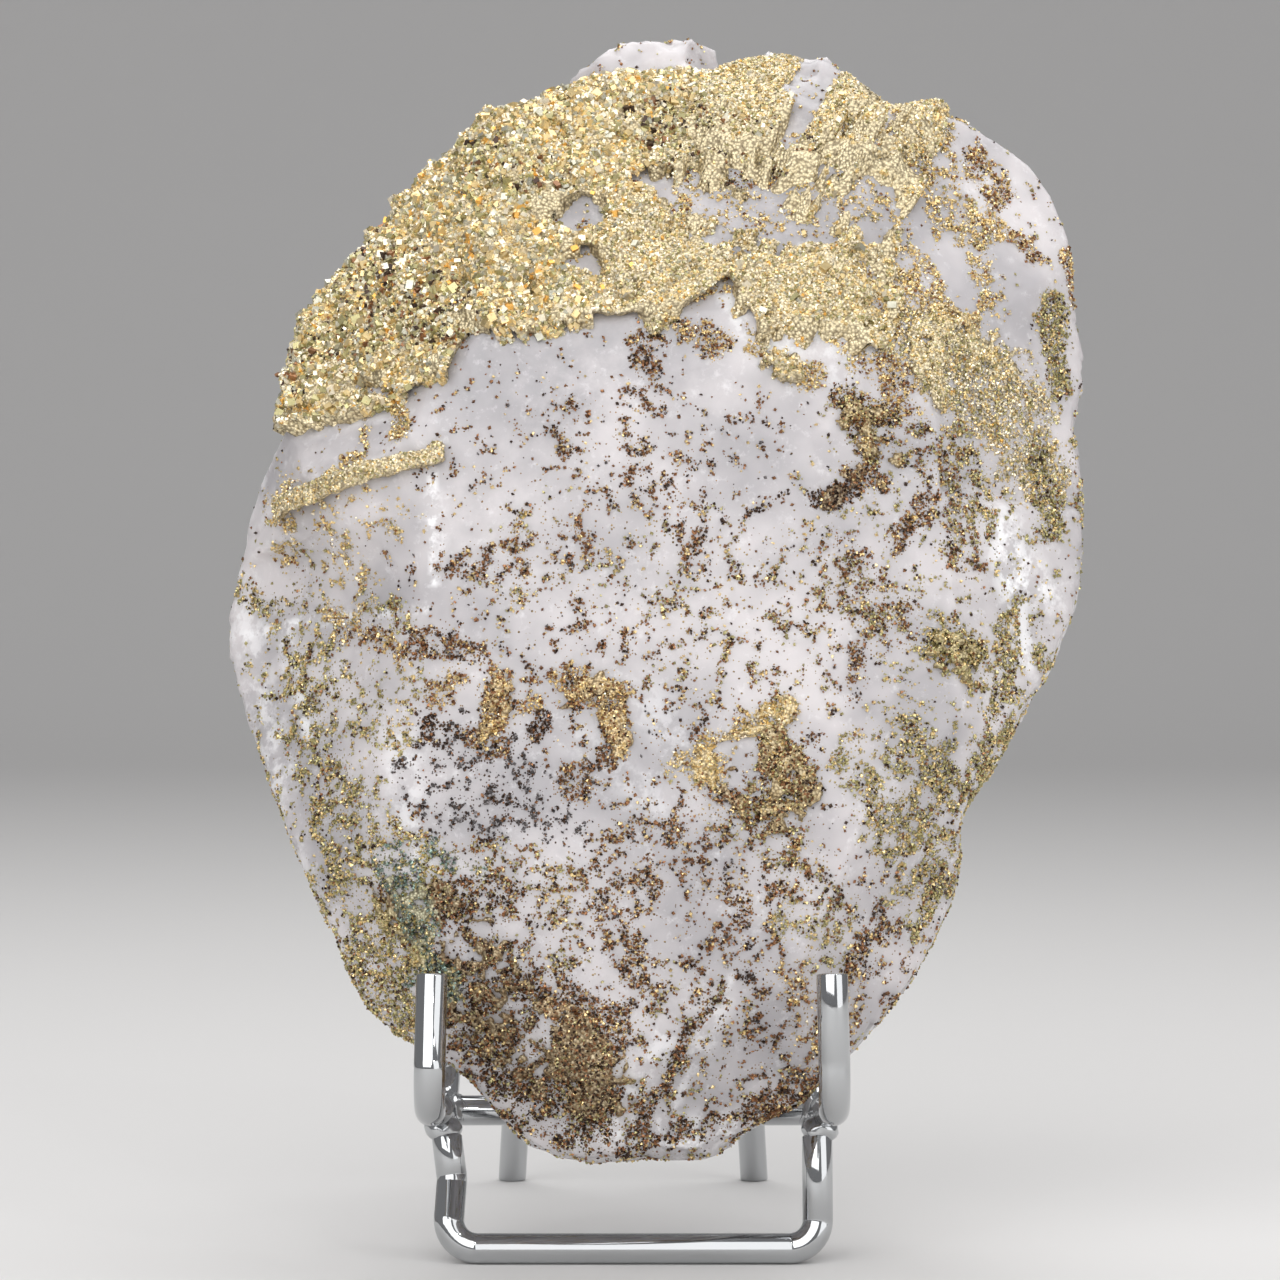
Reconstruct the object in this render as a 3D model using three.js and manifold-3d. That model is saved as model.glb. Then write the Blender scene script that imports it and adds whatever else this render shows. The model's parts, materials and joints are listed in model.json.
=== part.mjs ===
// Pyrite on calcite, leaning in a small wire display stand.
//
// Millimetres, +Z up, the stone's broad face towards -Y.
// The stone and the cradle that carries it lean back together, so both are modelled in one leaning
// group, in which the two arms lie along Y and the broad face is upright.
// The origin is on the table, below the middle of the object's box.

import * as THREE from 'three';
import { mergeVertices } from 'three/addons/utils/BufferGeometryUtils.js';
import Module from 'manifold-3d';

const wasm = await Module();
wasm.setup();
const { Manifold, Mesh } = wasm;

// Driving dimensions: the stand
const WIRE_DIAMETER = 3.2;
const GAP = 0.3;
const LEAN_DEG = 7.6;
const ARM_SPACING = 40.9;
const ARM_HEIGHT = 18.7;
const ARM_LENGTH = 38;
const HOOK_HEIGHT = 13.7;
const HOOK_TOE_IN = 0.3;
const BACK_LOOP_HEIGHT = 68;
const BACK_LOOP_TOP_WIDTH = 33;
const CROSS_BAR_SETBACK = 33;
const BASE_LOOP_WIDTH = 38.8;
const BASE_LOOP_SETBACK = 19.5;
const BASE_LOOP_HEIGHT = 13.4;
const BASE_LOOP_TILT_DEG = 15;
const REAR_LEG_TOP_WIDTH = 18;
const REAR_FOOT_SPACING = 29;
const REAR_FOOT_SETBACK = 82;
const CRADLE_BEND = 5;
const BASE_BEND = 3;
const REAR_BEND = 4;

// Driving dimensions: the stone, in the leaning group
const STONE_FRONT = 1.95;
const STONE_BACK = 35.9;
const STONE_BULGE = 22.5;
const STONE_MIDDLE_Z = 52;
const STONE_SQUARENESS = 0.6;
const STONE_ROUGHNESS = 0.45;
const CRUST_THICKNESS = 2;
const CRUST_ROUGHNESS = 0.6;
const RIDGE_THICKNESS = 1.9;
const PATCH_THICKNESS = 1;

// Rim of the calcite seen from the front, [x, z], counterclockwise from the right
const RIM = [
  [47.5, 55.6], [47.9, 60.9], [47.3, 69.4], [46.5, 73.1], [47.6, 74.2], [48.2, 76.8], [47.2, 85.4],
  [45.4, 94.5], [41.6, 101.2], [38.2, 103.3], [35.9, 104.7], [30.7, 105.7], [26.4, 105.6], [24.8, 106.9],
  [22.5, 109.9], [20.4, 111.7], [17.3, 112], [13.2, 111.6], [8.2, 110.2], [0.8, 108.6], [-6.2, 107.7],
  [-13.5, 104.4], [-20.3, 99.5], [-25.8, 93.3], [-30.2, 88.8], [-33.2, 83.2], [-35.2, 78.8], [-36.4, 72.5],
  [-38.4, 67.9], [-40.1, 64.3], [-41.1, 60.1], [-42.6, 56], [-43.4, 52], [-42.9, 48.6], [-40.7, 40.9],
  [-37.8, 32.8], [-33.9, 23.2], [-30.6, 16.1], [-28.2, 10.8], [-24.7, 7.7], [-19.6, 4.7], [-15.6, 1],
  [-13.1, -2.2], [-10.7, -4], [-4.8, -5.8], [-0.7, -5.7], [3.7, -4.8], [8.3, -4.2], [11.4, -3],
  [14.2, -1.1], [17.3, 0.1], [19.2, 1.9], [22.8, 5.7], [28, 11.5], [31.1, 15.7], [33.8, 21.9],
  [34.7, 26.6], [34.4, 29.3], [38.6, 36.6], [42.9, 44], [46.1, 50.3],
];

// Flat faces of the main crystal. Each goes through a point; turn swings it to the right, rise tips it up.
const FACES = [
  { through: [0, STONE_FRONT, 50], turn: 0, rise: 0 },
  { through: [-17, 2.1, 46], turn: -12, rise: -3 },
  { through: [-31.5, 6.8, 50], turn: -42, rise: -4 },
  { through: [-38.5, 14.2, 52], turn: -62, rise: 4 },
  { through: [22, 2.3, 46], turn: 11, rise: 1 },
  { through: [36, 7.2, 56], turn: 37, rise: 3 },
  { through: [31, 6.2, 32], turn: 34, rise: -19 },
  { through: [3, 2.1, 25], turn: 2, rise: -8 },
  { through: [7, 3.5, 10], turn: 13, rise: -27 },
  { through: [-8, 3.7, 9], turn: -16, rise: -26 },
  { through: [-21, 4, 20], turn: -31, rise: -17 },
  { through: [0, 2.2, 76], turn: -2, rise: 11 },
  { through: [0, 3.1, 81], turn: -3, rise: 29 },
  { through: [-19, 4.2, 77], turn: -35, rise: 26 },
  { through: [30, 5.2, 79], turn: 24, rise: 22 },
  { through: [43.5, 13.5, 96.5], turn: 42, rise: 33 },
  { through: [8, 15.2, 106], turn: 4, rise: 52 },
  { through: [0, STONE_BACK, 50], turn: 180, rise: 0 },
  { through: [0, 30.6, 2.2], turn: 180, rise: -38 },
  { through: [-30, 31, 40], turn: -142, rise: -12 },
  { through: [38.3, 31, 60], turn: 132, rise: 2 },
  { through: [-6, 33, 101.5], turn: 176, rise: 42 },
];

// Cleavage steps: beyond each corner a slab is split off, facing the way that turn and rise give
const STEPS = [
  { corner: [12, 33.4, 66], turn: 168, rise: 0, size: [60, 8, 60] },
  { corner: [-14, 33.9, 34], turn: 190, rise: -3, size: [44, 8, 40] },
  { corner: [-44.6, 20, 17], turn: -42, rise: -4, size: [26, 9, 41] },
  { corner: [31.6, 5.4, 63], turn: 37, rise: 3, size: [30, 9, 24] },
];

// Second crystal, grown into the lower right edge, the white lump behind the top edge and a
// broken shelf along the foot
const GROWTHS = [
  { centre: [22.2, 19.5, 22.4], radii: [11, 13, 15.2], turns: [8, 24, 31] },
  { centre: [1.4, 24, 109.2], radii: [9.4, 4.8, 4.8], turns: [0, -14, 7] },
  { centre: [3, 13, -2], radii: [9, 5, 3.2], turns: [20, 10, 4] },
];

// Edge of the crust across the face; inside it the crust runs over the rim and down behind
const CRUST_EDGE = [
  [-35.5, 70.5], [-31, 71.5], [-23.5, 74], [-19.5, 75.5], [-18, 80.5], [-11.5, 80.5], [-4.5, 82],
  [1, 82.5], [3, 81], [6, 83], [10.5, 86.5], [12.5, 83], [13, 78.5], [15.5, 74], [18.5, 74.5], [17.2, 79],
  [23.5, 78.5], [27, 77.8], [29.2, 84], [28.2, 88.5], [29.4, 93.5], [31.4, 97.5], [29.6, 100.8], [34, 102.4],
];
const CRUST_OVER_TOP = [[35.5, 130], [-60, 130], [-60, 70.5]];
const CRUST_BACK_EDGE = 27;

// Notches along the crust's edge behind, each turned further than the last
const BACK_NOTCHES = { count: 9, firstDeg: 58, lastDeg: 148, radii: [5, 2.6, 4.2], turnSteps: [17, 40, 23] };

// Bare calcite inside the crust: ellipsoids that take the crust away
const BARE_SPOTS = [
  { centre: [-5.9, 9.5, 94], radii: [3.4, 5, 1.9], turns: [0, -8, 0] },
  { centre: [-5.4, 6.4, 88.6], radii: [2.3, 5, 1.6], turns: [0, 10, 0] },
  { centre: [14.5, 9.4, 93.6], radii: [11.5, 6, 2.7], turns: [0, 20, 0] },
  { centre: [4.5, 11.5, 97.4], radii: [4.4, 5, 1.5], turns: [0, 12, 0] },
  { centre: [18.9, 17.9, 108.6], radii: [1.9, 6, 4.6], turns: [0, 14, 0] },
];

// Outlines of the raised pyrite on the face, [x, z]
const RIDGE_OUTLINE = [[-37.5, 63.2], [-28, 66], [-19, 67.6], [-18.8, 65.9], [-28, 63.5], [-37.2, 60.8]];
const PATCH_OUTLINES = {
  pyrite_patch_centre: [
    [4, 34], [7, 36.5], [11, 38.5], [13, 41], [16.5, 42.5], [17, 38.5], [19.3, 35], [19.5, 32],
    [17, 28.5], [13.5, 27.5], [10.5, 29.5], [7, 32.2],
  ],
  pyrite_patch_arch: [
    [-8, 35.5], [-8, 41.5], [-6, 45], [-2, 45], [0.3, 42.5], [0.3, 37.5], [-2, 34.5], [-3.2, 39.2],
    [-4.5, 41], [-6, 39.5], [-6.3, 35.5],
  ],
  pyrite_patch_foot: [
    [-23.5, 24.5], [-18.5, 23], [-13.5, 19], [-9.5, 12], [-4, 10], [-1, 7], [1.6, 3], [-0.5, -1],
    [-4, -1.4], [-9.5, 1], [-14.5, 4.5], [-18, 8], [-22, 13], [-26, 18.5], [-27, 23],
  ],
  pyrite_patch_left: [[-17, 42.5], [-13.5, 45.3], [-11.3, 42.5], [-12.8, 38.5], [-15.8, 36.8]],
  pyrite_patch_right: [
    [21.5, 72.5], [25.5, 73], [27.5, 69], [28, 65], [24.5, 62], [19.5, 60.8], [18.8, 63.5], [22.5, 66],
    [21, 69.5],
  ],
  pyrite_patch_side: [[31, 49.3], [35, 49.5], [36.2, 46.5], [34.5, 43], [31, 42.2], [29.3, 46]],
  pyrite_band: [
    [28.2, 79.5], [30.3, 83.5], [35.5, 82.8], [36.5, 80.8], [39.5, 80.2], [42, 77.5], [42.2, 67],
    [43, 59], [40.8, 61], [38, 66], [35, 69], [31.5, 71.7], [28.2, 75.6],
  ],
};

// Crystals that stand out of the pyrite: how many, their width, and the seed of their places
const COARSE_CRYSTALS = { count: 78, small: 1.7, large: 2.8, seed: 7 };
const FINE_CRYSTALS = { count: 36, small: 1.2, large: 1.8, seed: 19 };
const RIDGE_CRYSTALS = { count: 12, small: 1, large: 1.5, seed: 31 };
const PATCH_CRYSTALS = { count: 5, small: 0.9, large: 1.3, seed: 41 };
const CRYSTAL_SINK = 0.25;
const TRIES_PER_CRYSTAL = 60;
const HIGHEST_AIM = 120;

// The crust is coarse to the left of a sloping line across the face
const COARSE_EDGE = { slope: 0.4, foot: 95 };

// Mesh fineness
const WIRE_SIDES = 12;
const BEND_STEPS = 6;
const RIM_STEPS = 96;
const DEPTH_STEPS = 16;
const REACH = 200;

// How far a curve's handles reach to their corner to round it like a circle
const CIRCLE_PULL = 0.5523;

const WIRE_RADIUS = WIRE_DIAMETER / 2;
const STONE_MIDDLE_Y = (STONE_FRONT + STONE_BACK) / 2;
const radians = THREE.MathUtils.degToRad;

const CALCITE = new THREE.MeshStandardMaterial({ color: 0xdcdbe2, roughness: 0.4, metalness: 0 });
const PYRITE = new THREE.MeshStandardMaterial({ color: 0xb7994f, roughness: 0.35, metalness: 0.9 });
const CHROME = new THREE.MeshStandardMaterial({ color: 0xc9ccd1, roughness: 0.12, metalness: 1 });

const part = new THREE.Group();

// Helpers: solids

function toSolid(geometry) {
  const bare = geometry.index ? geometry.toNonIndexed() : geometry.clone();
  bare.deleteAttribute('normal');
  bare.deleteAttribute('uv');
  const merged = mergeVertices(bare, 1e-4);
  const vertProperties = new Float32Array(merged.attributes.position.array);
  const triVerts = new Uint32Array(merged.index.array);
  return new Manifold(new Mesh({ numProp: 3, vertProperties, triVerts }));
}

function toGeometry(solid) {
  const { numProp, vertProperties, triVerts } = solid.getMesh();
  if (numProp !== 3) {
    throw new Error('a solid has more than places at its corners');
  }
  const geometry = new THREE.BufferGeometry();
  geometry.setAttribute('position', new THREE.BufferAttribute(vertProperties, 3));
  geometry.setIndex(new THREE.BufferAttribute(triVerts, 1));
  geometry.computeVertexNormals();
  return geometry;
}

// The largest connected skin of a solid: crumbs beside it and pockets between its crystals go
function outerSkin(solid) {
  const geometry = toGeometry(solid);
  const corners = geometry.index.array;
  const parent = Array.from({ length: geometry.attributes.position.count }, (_, i) => i);
  const root = (i) => {
    let top = i;
    while (parent[top] !== top) {
      parent[top] = parent[parent[top]];
      top = parent[top];
    }
    return top;
  };
  for (let i = 0; i < corners.length; i += 3) {
    parent[root(corners[i])] = root(corners[i + 1]);
    parent[root(corners[i + 1])] = root(corners[i + 2]);
  }
  const skins = new Map();
  for (let i = 0; i < corners.length; i += 3) {
    const skin = root(corners[i]);
    skins.set(skin, [...(skins.get(skin) ?? []), corners[i], corners[i + 1], corners[i + 2]]);
  }
  const largest = [...skins.values()].reduce((best, skin) => (skin.length > best.length ? skin : best));
  geometry.setIndex(largest);
  return geometry;
}

function addMesh(parent, name, geometry, material) {
  const mesh = new THREE.Mesh(geometry, material);
  mesh.name = name;
  parent.add(mesh);
  return mesh;
}

// The same stream of numbers from 0 to 1 each time
function randomStream(seed) {
  let state = seed;
  return () => {
    state = (Math.imul(state, 1664525) + 1013904223) >>> 0;
    return state / 2 ** 32;
  };
}

// Uneven height, from -1 to 1, that belongs to a place, so that a seam stays closed
function unevenness(x, y, z) {
  const broad = Math.sin(0.21 * x + 1.7) * Math.sin(0.24 * z + 0.6) * Math.cos(0.19 * y);
  const sharp = Math.sin(1.9 * x + 2.3 * y + 0.4) * Math.sin(2.1 * z - 1.7 * y + 1.1);
  return 0.55 * broad + 0.45 * sharp;
}

// Helpers: the stone

// Distance from the stone's middle to its rim for each of many directions in the face's plane
const rimCurve = new THREE.CatmullRomCurve3(
  RIM.map(([x, z]) => new THREE.Vector3(x, 0, z - STONE_MIDDLE_Z)),
  true,
);
const rimSamples = rimCurve.getPoints(8 * RIM.length)
  .map((point) => ({ angle: Math.atan2(point.z, point.x), radius: Math.hypot(point.x, point.z) }))
  .sort((a, b) => a.angle - b.angle);

function rimRadius(angle) {
  const after = rimSamples.findIndex((sample) => sample.angle > angle);
  const high = rimSamples[after < 0 ? 0 : after];
  const low = rimSamples[after <= 0 ? rimSamples.length - 1 : after - 1];
  const span = high.angle - low.angle;
  const share = span > 1e-6 ? (angle - low.angle) / span : 0;
  return THREE.MathUtils.lerp(low.radius, high.radius, THREE.MathUtils.clamp(share, 0, 1));
}

// Rounded block with the stone's rim, its surface moved out by grow
function roundedBlock(grow, roughness) {
    const geometry = new THREE.SphereGeometry(1, RIM_STEPS, DEPTH_STEPS);
  const place = geometry.attributes.position;
  for (let i = 0; i < place.count; i += 1) {
    const direction = new THREE.Vector3().fromBufferAttribute(place, i);
    const outward = Math.hypot(direction.x, direction.z);
    const angle = outward > 1e-6 ? Math.atan2(direction.z, direction.x) : 0;
    const spread = outward ** STONE_SQUARENESS;
    const depth = Math.sign(direction.y) * Math.abs(direction.y) ** STONE_SQUARENESS;
    const radius = rimRadius(angle) * spread;
    const x = Math.cos(angle) * radius;
    const z = Math.sin(angle) * radius;
    const y = STONE_BULGE * depth;
    const bump = grow + roughness * unevenness(x, y, z);
    place.setXYZ(
      i,
      x + bump * direction.x,
      STONE_MIDDLE_Y + y + bump * direction.y,
      STONE_MIDDLE_Z + z + bump * direction.z,
    );
  }
  return toSolid(geometry);
}

// Outward direction of a face: turn swings it about Z from -Y, rise tips it up
function faceNormal(turn, rise) {
  const level = Math.cos(radians(rise));
  return new THREE.Vector3(
    Math.sin(radians(turn)) * level,
    -Math.cos(radians(turn)) * level,
    Math.sin(radians(rise)),
  );
}

// Large block whose near side lies in a face, with everything that the face cuts off inside it
function beyondFace({ through, turn, rise }, grow) {
  const normal = faceNormal(turn, rise);
  const geometry = new THREE.BoxGeometry(REACH, REACH, REACH);
  geometry.translate(0, 0, REACH / 2 + grow);
  geometry.applyQuaternion(new THREE.Quaternion().setFromUnitVectors(new THREE.Vector3(0, 0, 1), normal));
  geometry.translate(...through);
  return toSolid(geometry);
}

// A shape of radius 1 stretched to its radii, turned about X, Y and Z, and moved to its centre
function stretched(geometry, { centre, radii, turns }) {
  geometry.scale(...radii);
  geometry.applyMatrix4(new THREE.Matrix4().makeRotationFromEuler(new THREE.Euler(...turns.map(radians))));
  geometry.translate(...centre);
  return toSolid(geometry);
}

// Crystal with twelve flat faces, its surface moved out by grow
function crystal({ centre, radii, turns }, grow) {
  const grown = radii.map((radius) => radius + grow);
  return stretched(new THREE.DodecahedronGeometry(1), { centre, radii: grown, turns });
}

// Slab that splits off along a cleavage step
function splitSlab({ corner, turn, rise, size }) {
  const geometry = new THREE.BoxGeometry(...size);
  geometry.translate(size[0] / 2, -size[1] / 2, size[2] / 2);
  geometry.rotateX(radians(rise));
  geometry.rotateZ(radians(turn));
  geometry.translate(...corner);
  return toSolid(geometry);
}

// The main crystal with its surface moved out by grow
function mainCrystal(grow, roughness) {
  let solid = roundedBlock(grow, roughness);
  for (const face of FACES) {
    solid = solid.subtract(beyondFace(face, grow));
  }
  for (const step of STEPS) {
    solid = solid.subtract(splitSlab(step));
  }
  return solid;
}

// All the calcite with its surface moved out by grow
function calciteSolid(grow, roughness) {
  return GROWTHS.reduce((solid, growth) => solid.add(crystal(growth, grow)), mainCrystal(grow, roughness));
}

// Upright prism along Y over an outline in the face's plane
function prism(outline, from, to) {
  const shape = new THREE.Shape(outline.map(([x, z]) => new THREE.Vector2(x, z)));
  const geometry = new THREE.ExtrudeGeometry(shape, { depth: to - from, bevelEnabled: false, steps: 1 });
  geometry.rotateX(Math.PI / 2);
  geometry.translate(0, to, 0);
  return toSolid(geometry);
}

// Small crystals set at random in a surface, a little deeper than half
function withCrystals(solid, { count, small, large, seed }, isWanted = () => true) {
  const random = randomStream(seed);
  const surface = new THREE.Mesh(toGeometry(solid), new THREE.MeshBasicMaterial({ side: THREE.DoubleSide }));
  const box = new THREE.Box3().setFromObject(surface);
  const size = box.getSize(new THREE.Vector3());
  const ray = new THREE.Raycaster();
  let grown = solid;
  let placed = 0;
  for (let attempt = 0; attempt < TRIES_PER_CRYSTAL * count && placed < count; attempt += 1) {
    const target = new THREE.Vector3(random(), random(), random()).multiply(size).add(box.min);
    const from = new THREE.Vector3(target.x, box.min.y - REACH, target.z + HIGHEST_AIM * random());
    const direction = target.clone().sub(from).normalize();
    ray.set(from, direction);
    const hit = ray.intersectObject(surface)[0];
    if (!hit || !isWanted(hit.point)) {
      continue;
    }
    const width = THREE.MathUtils.lerp(small, large, random());
    const geometry = new THREE.BoxGeometry(width, width, width);
    const turn = new THREE.Euler(Math.PI * random(), Math.PI * random(), Math.PI * random());
    geometry.applyMatrix4(new THREE.Matrix4().makeRotationFromEuler(turn));
    const centre = hit.point.clone().addScaledVector(direction, CRYSTAL_SINK * width);
    geometry.translate(centre.x, centre.y, centre.z);
    grown = grown.add(toSolid(geometry));
    placed += 1;
  }
  return grown;
}

// Helpers: the wires

// Path of straight stretches with rounded bends, sampled once on each stretch and often in each bend
class WirePath extends THREE.Curve {
  constructor(corners, bendRadius) {
    super();
    this.pieces = [];
    let last = corners[0];
    for (let i = 1; i < corners.length - 1; i += 1) {
      const toLast = corners[i - 1].clone().sub(corners[i]).normalize();
      const toNext = corners[i + 1].clone().sub(corners[i]).normalize();
      const setback = bendRadius / Math.tan(toLast.angleTo(toNext) / 2);
      const start = corners[i].clone().addScaledVector(toLast, setback);
      const end = corners[i].clone().addScaledVector(toNext, setback);
      const bend = new THREE.CubicBezierCurve3(
        start,
        start.clone().lerp(corners[i], CIRCLE_PULL),
        end.clone().lerp(corners[i], CIRCLE_PULL),
        end,
      );
      this.pieces.push({ curve: new THREE.LineCurve3(last, start), steps: 1 });
      this.pieces.push({ curve: bend, steps: BEND_STEPS });
      last = end;
    }
    this.pieces.push({ curve: new THREE.LineCurve3(last, corners.at(-1)), steps: 1 });
    this.steps = this.pieces.reduce((sum, piece) => sum + piece.steps, 0);
  }

  getPoint(t, target = new THREE.Vector3()) {
    let left = t * this.steps;
    for (const { curve, steps } of this.pieces) {
      if (left <= steps) {
        return curve.getPoint(left / steps, target);
      }
      left -= steps;
    }
    return this.pieces.at(-1).curve.getPoint(1, target);
  }

  getPointAt(u, target) {
    return this.getPoint(u, target);
  }

  getTangentAt(u, target) {
    return this.getTangent(u, target);
  }
}

// Many-sided wire section, with its flats level when the wire's own plane is tilted by flatTurn
function wireSection(flatTurn) {
  const radius = WIRE_RADIUS / Math.cos(Math.PI / WIRE_SIDES);
  const corners = [];
  for (let i = 0; i < WIRE_SIDES; i += 1) {
    const angle = (2 * Math.PI * (i + 0.5)) / WIRE_SIDES + flatTurn;
    corners.push(new THREE.Vector2(radius * Math.cos(angle), radius * Math.sin(angle)));
  }
  return new THREE.Shape(corners);
}

function wire(corners, bendRadius, flatTurn = 0) {
  const path = new WirePath(corners.map((corner) => new THREE.Vector3(...corner)), bendRadius);
  return new THREE.ExtrudeGeometry(wireSection(flatTurn), { steps: path.steps, extrudePath: path });
}

// The leaning group: stone and cradle

const leaning = new THREE.Group();
leaning.position.z = ARM_HEIGHT;
leaning.rotation.x = -radians(LEAN_DEG);
part.add(leaning);

// Calcite
const calcite = calciteSolid(0, STONE_ROUGHNESS);
addMesh(leaning, 'calcite', toGeometry(calcite), CALCITE);

// The crust and the patches lie on this, the calcite and the gap around it
const underlay = calciteSolid(GAP, STONE_ROUGHNESS);

// Pyrite crust over the top and the upper left
function pyriteCrust() {
  const zone = prism([...CRUST_EDGE, ...CRUST_OVER_TOP], -REACH, CRUST_BACK_EDGE);
  let crust = mainCrystal(CRUST_THICKNESS, CRUST_ROUGHNESS).intersect(zone);
  const isCoarse = (point) => point.x < COARSE_EDGE.slope * (point.z - COARSE_EDGE.foot);
  crust = withCrystals(crust, COARSE_CRYSTALS, isCoarse);
  crust = withCrystals(crust, FINE_CRYSTALS, (point) => !isCoarse(point));
  for (const spot of BARE_SPOTS) {
    crust = crust.subtract(stretched(new THREE.IcosahedronGeometry(1, 2), spot));
  }
  const { count, firstDeg, lastDeg, radii, turnSteps } = BACK_NOTCHES;
  for (let i = 0; i < count; i += 1) {
    const angle = radians(THREE.MathUtils.lerp(firstDeg, lastDeg, i / (count - 1)));
    const reach = rimRadius(angle);
    const centre = [
      Math.cos(angle) * reach,
      CRUST_BACK_EDGE - (i % 2),
      STONE_MIDDLE_Z + Math.sin(angle) * reach,
    ];
    const across = radii.map((radius, axis) => radius + ((i + axis) % 3));
    const turns = turnSteps.map((step) => step * i);
    crust = crust.subtract(crystal({ centre, radii: across, turns }, 0));
  }
  return crust.subtract(underlay);
}
addMesh(leaning, 'pyrite_crust', outerSkin(pyriteCrust()), PYRITE);

// Pyrite ridge on the left of the face
function pyriteRidge() {
  const zone = prism(RIDGE_OUTLINE, -REACH, STONE_MIDDLE_Y);
  const bar = calciteSolid(RIDGE_THICKNESS, 0).intersect(zone);
  return withCrystals(bar, RIDGE_CRYSTALS).subtract(underlay);
}
addMesh(leaning, 'pyrite_ridge', outerSkin(pyriteRidge()), PYRITE);

// Pyrite patches on the face
const patchLayer = calciteSolid(PATCH_THICKNESS + GAP, 0).subtract(underlay);
Object.entries(PATCH_OUTLINES).forEach(([name, outline], index) => {
  const patch = patchLayer.intersect(prism(outline, -REACH, STONE_MIDDLE_Y));
  const crystals = { ...PATCH_CRYSTALS, seed: PATCH_CRYSTALS.seed + index };
  const rough = withCrystals(patch, crystals).subtract(underlay);
  addMesh(leaning, name, outerSkin(rough), PYRITE);
});

// Cradle: hook, arm, back loop, arm and hook in one bent wire
const arm = ARM_SPACING / 2;
const hook = arm - HOOK_TOE_IN;
const loopTop = BACK_LOOP_TOP_WIDTH / 2;
const cradleCorners = [
  [-hook, 0, HOOK_HEIGHT],
  [-arm, 0, 0],
  [-arm, ARM_LENGTH, 0],
  [-loopTop, ARM_LENGTH, BACK_LOOP_HEIGHT],
  [loopTop, ARM_LENGTH, BACK_LOOP_HEIGHT],
  [arm, ARM_LENGTH, 0],
  [arm, 0, 0],
  [hook, 0, HOOK_HEIGHT],
];
addMesh(leaning, 'cradle_wire', wire(cradleCorners, CRADLE_BEND), CHROME);

// Cross bar between the arms, in front of the back loop
const barHalf = arm - WIRE_RADIUS - GAP;
const barCorners = [[-barHalf, CROSS_BAR_SETBACK, 0], [barHalf, CROSS_BAR_SETBACK, 0]];
addMesh(leaning, 'cross_bar', wire(barCorners, 0), CHROME);

// Base loop under the arms, its bar on the table
const baseSide = BASE_LOOP_WIDTH / 2;
const baseRise = BASE_LOOP_HEIGHT - WIRE_RADIUS;
const baseCorners = [[-baseSide, 0, baseRise], [-baseSide, 0, 0], [baseSide, 0, 0], [baseSide, 0, baseRise]];
const baseTilt = radians(BASE_LOOP_TILT_DEG);
const baseLoop = addMesh(part, 'base_loop', wire(baseCorners, BASE_BEND, baseTilt), CHROME);
baseLoop.position.set(0, BASE_LOOP_SETBACK, WIRE_RADIUS);
baseLoop.rotation.x = -baseTilt;

// Rear leg: from the back loop's top down to two feet, cut level with the table
leaning.updateMatrixWorld(true);
const weld = leaning.localToWorld(new THREE.Vector3(0, ARM_LENGTH + WIRE_DIAMETER + GAP, BACK_LOOP_HEIGHT));
const rearTop = REAR_LEG_TOP_WIDTH / 2;
const rearFoot = REAR_FOOT_SPACING / 2;
const belowTable = -2 * WIRE_DIAMETER;
const rearLegCorners = [
  [-rearFoot, REAR_FOOT_SETBACK, belowTable],
  [-rearTop, weld.y, weld.z],
  [rearTop, weld.y, weld.z],
  [rearFoot, REAR_FOOT_SETBACK, belowTable],
];
const table = beyondFace({ through: [0, 0, 0], turn: 0, rise: -90 }, 0);
addMesh(part, 'rear_leg', toGeometry(toSolid(wire(rearLegCorners, REAR_BEND)).subtract(table)), CHROME);

// Origin below the middle of the box
part.updateMatrixWorld(true);
const box = new THREE.Box3().setFromObject(part, true);
const middle = box.getCenter(new THREE.Vector3());
part.position.set(-middle.x, -middle.y, -box.min.z);

export default part;
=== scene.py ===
"""Pyrite on calcite, leaning in a small wire stand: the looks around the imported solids."""

import itertools
import json
import math

import bmesh
import bpy
import numpy as np
from bpy.props import FloatProperty, FloatVectorProperty, IntProperty, PointerProperty
from mathutils import Matrix, Vector
from mathutils.bvhtree import BVHTree

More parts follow.
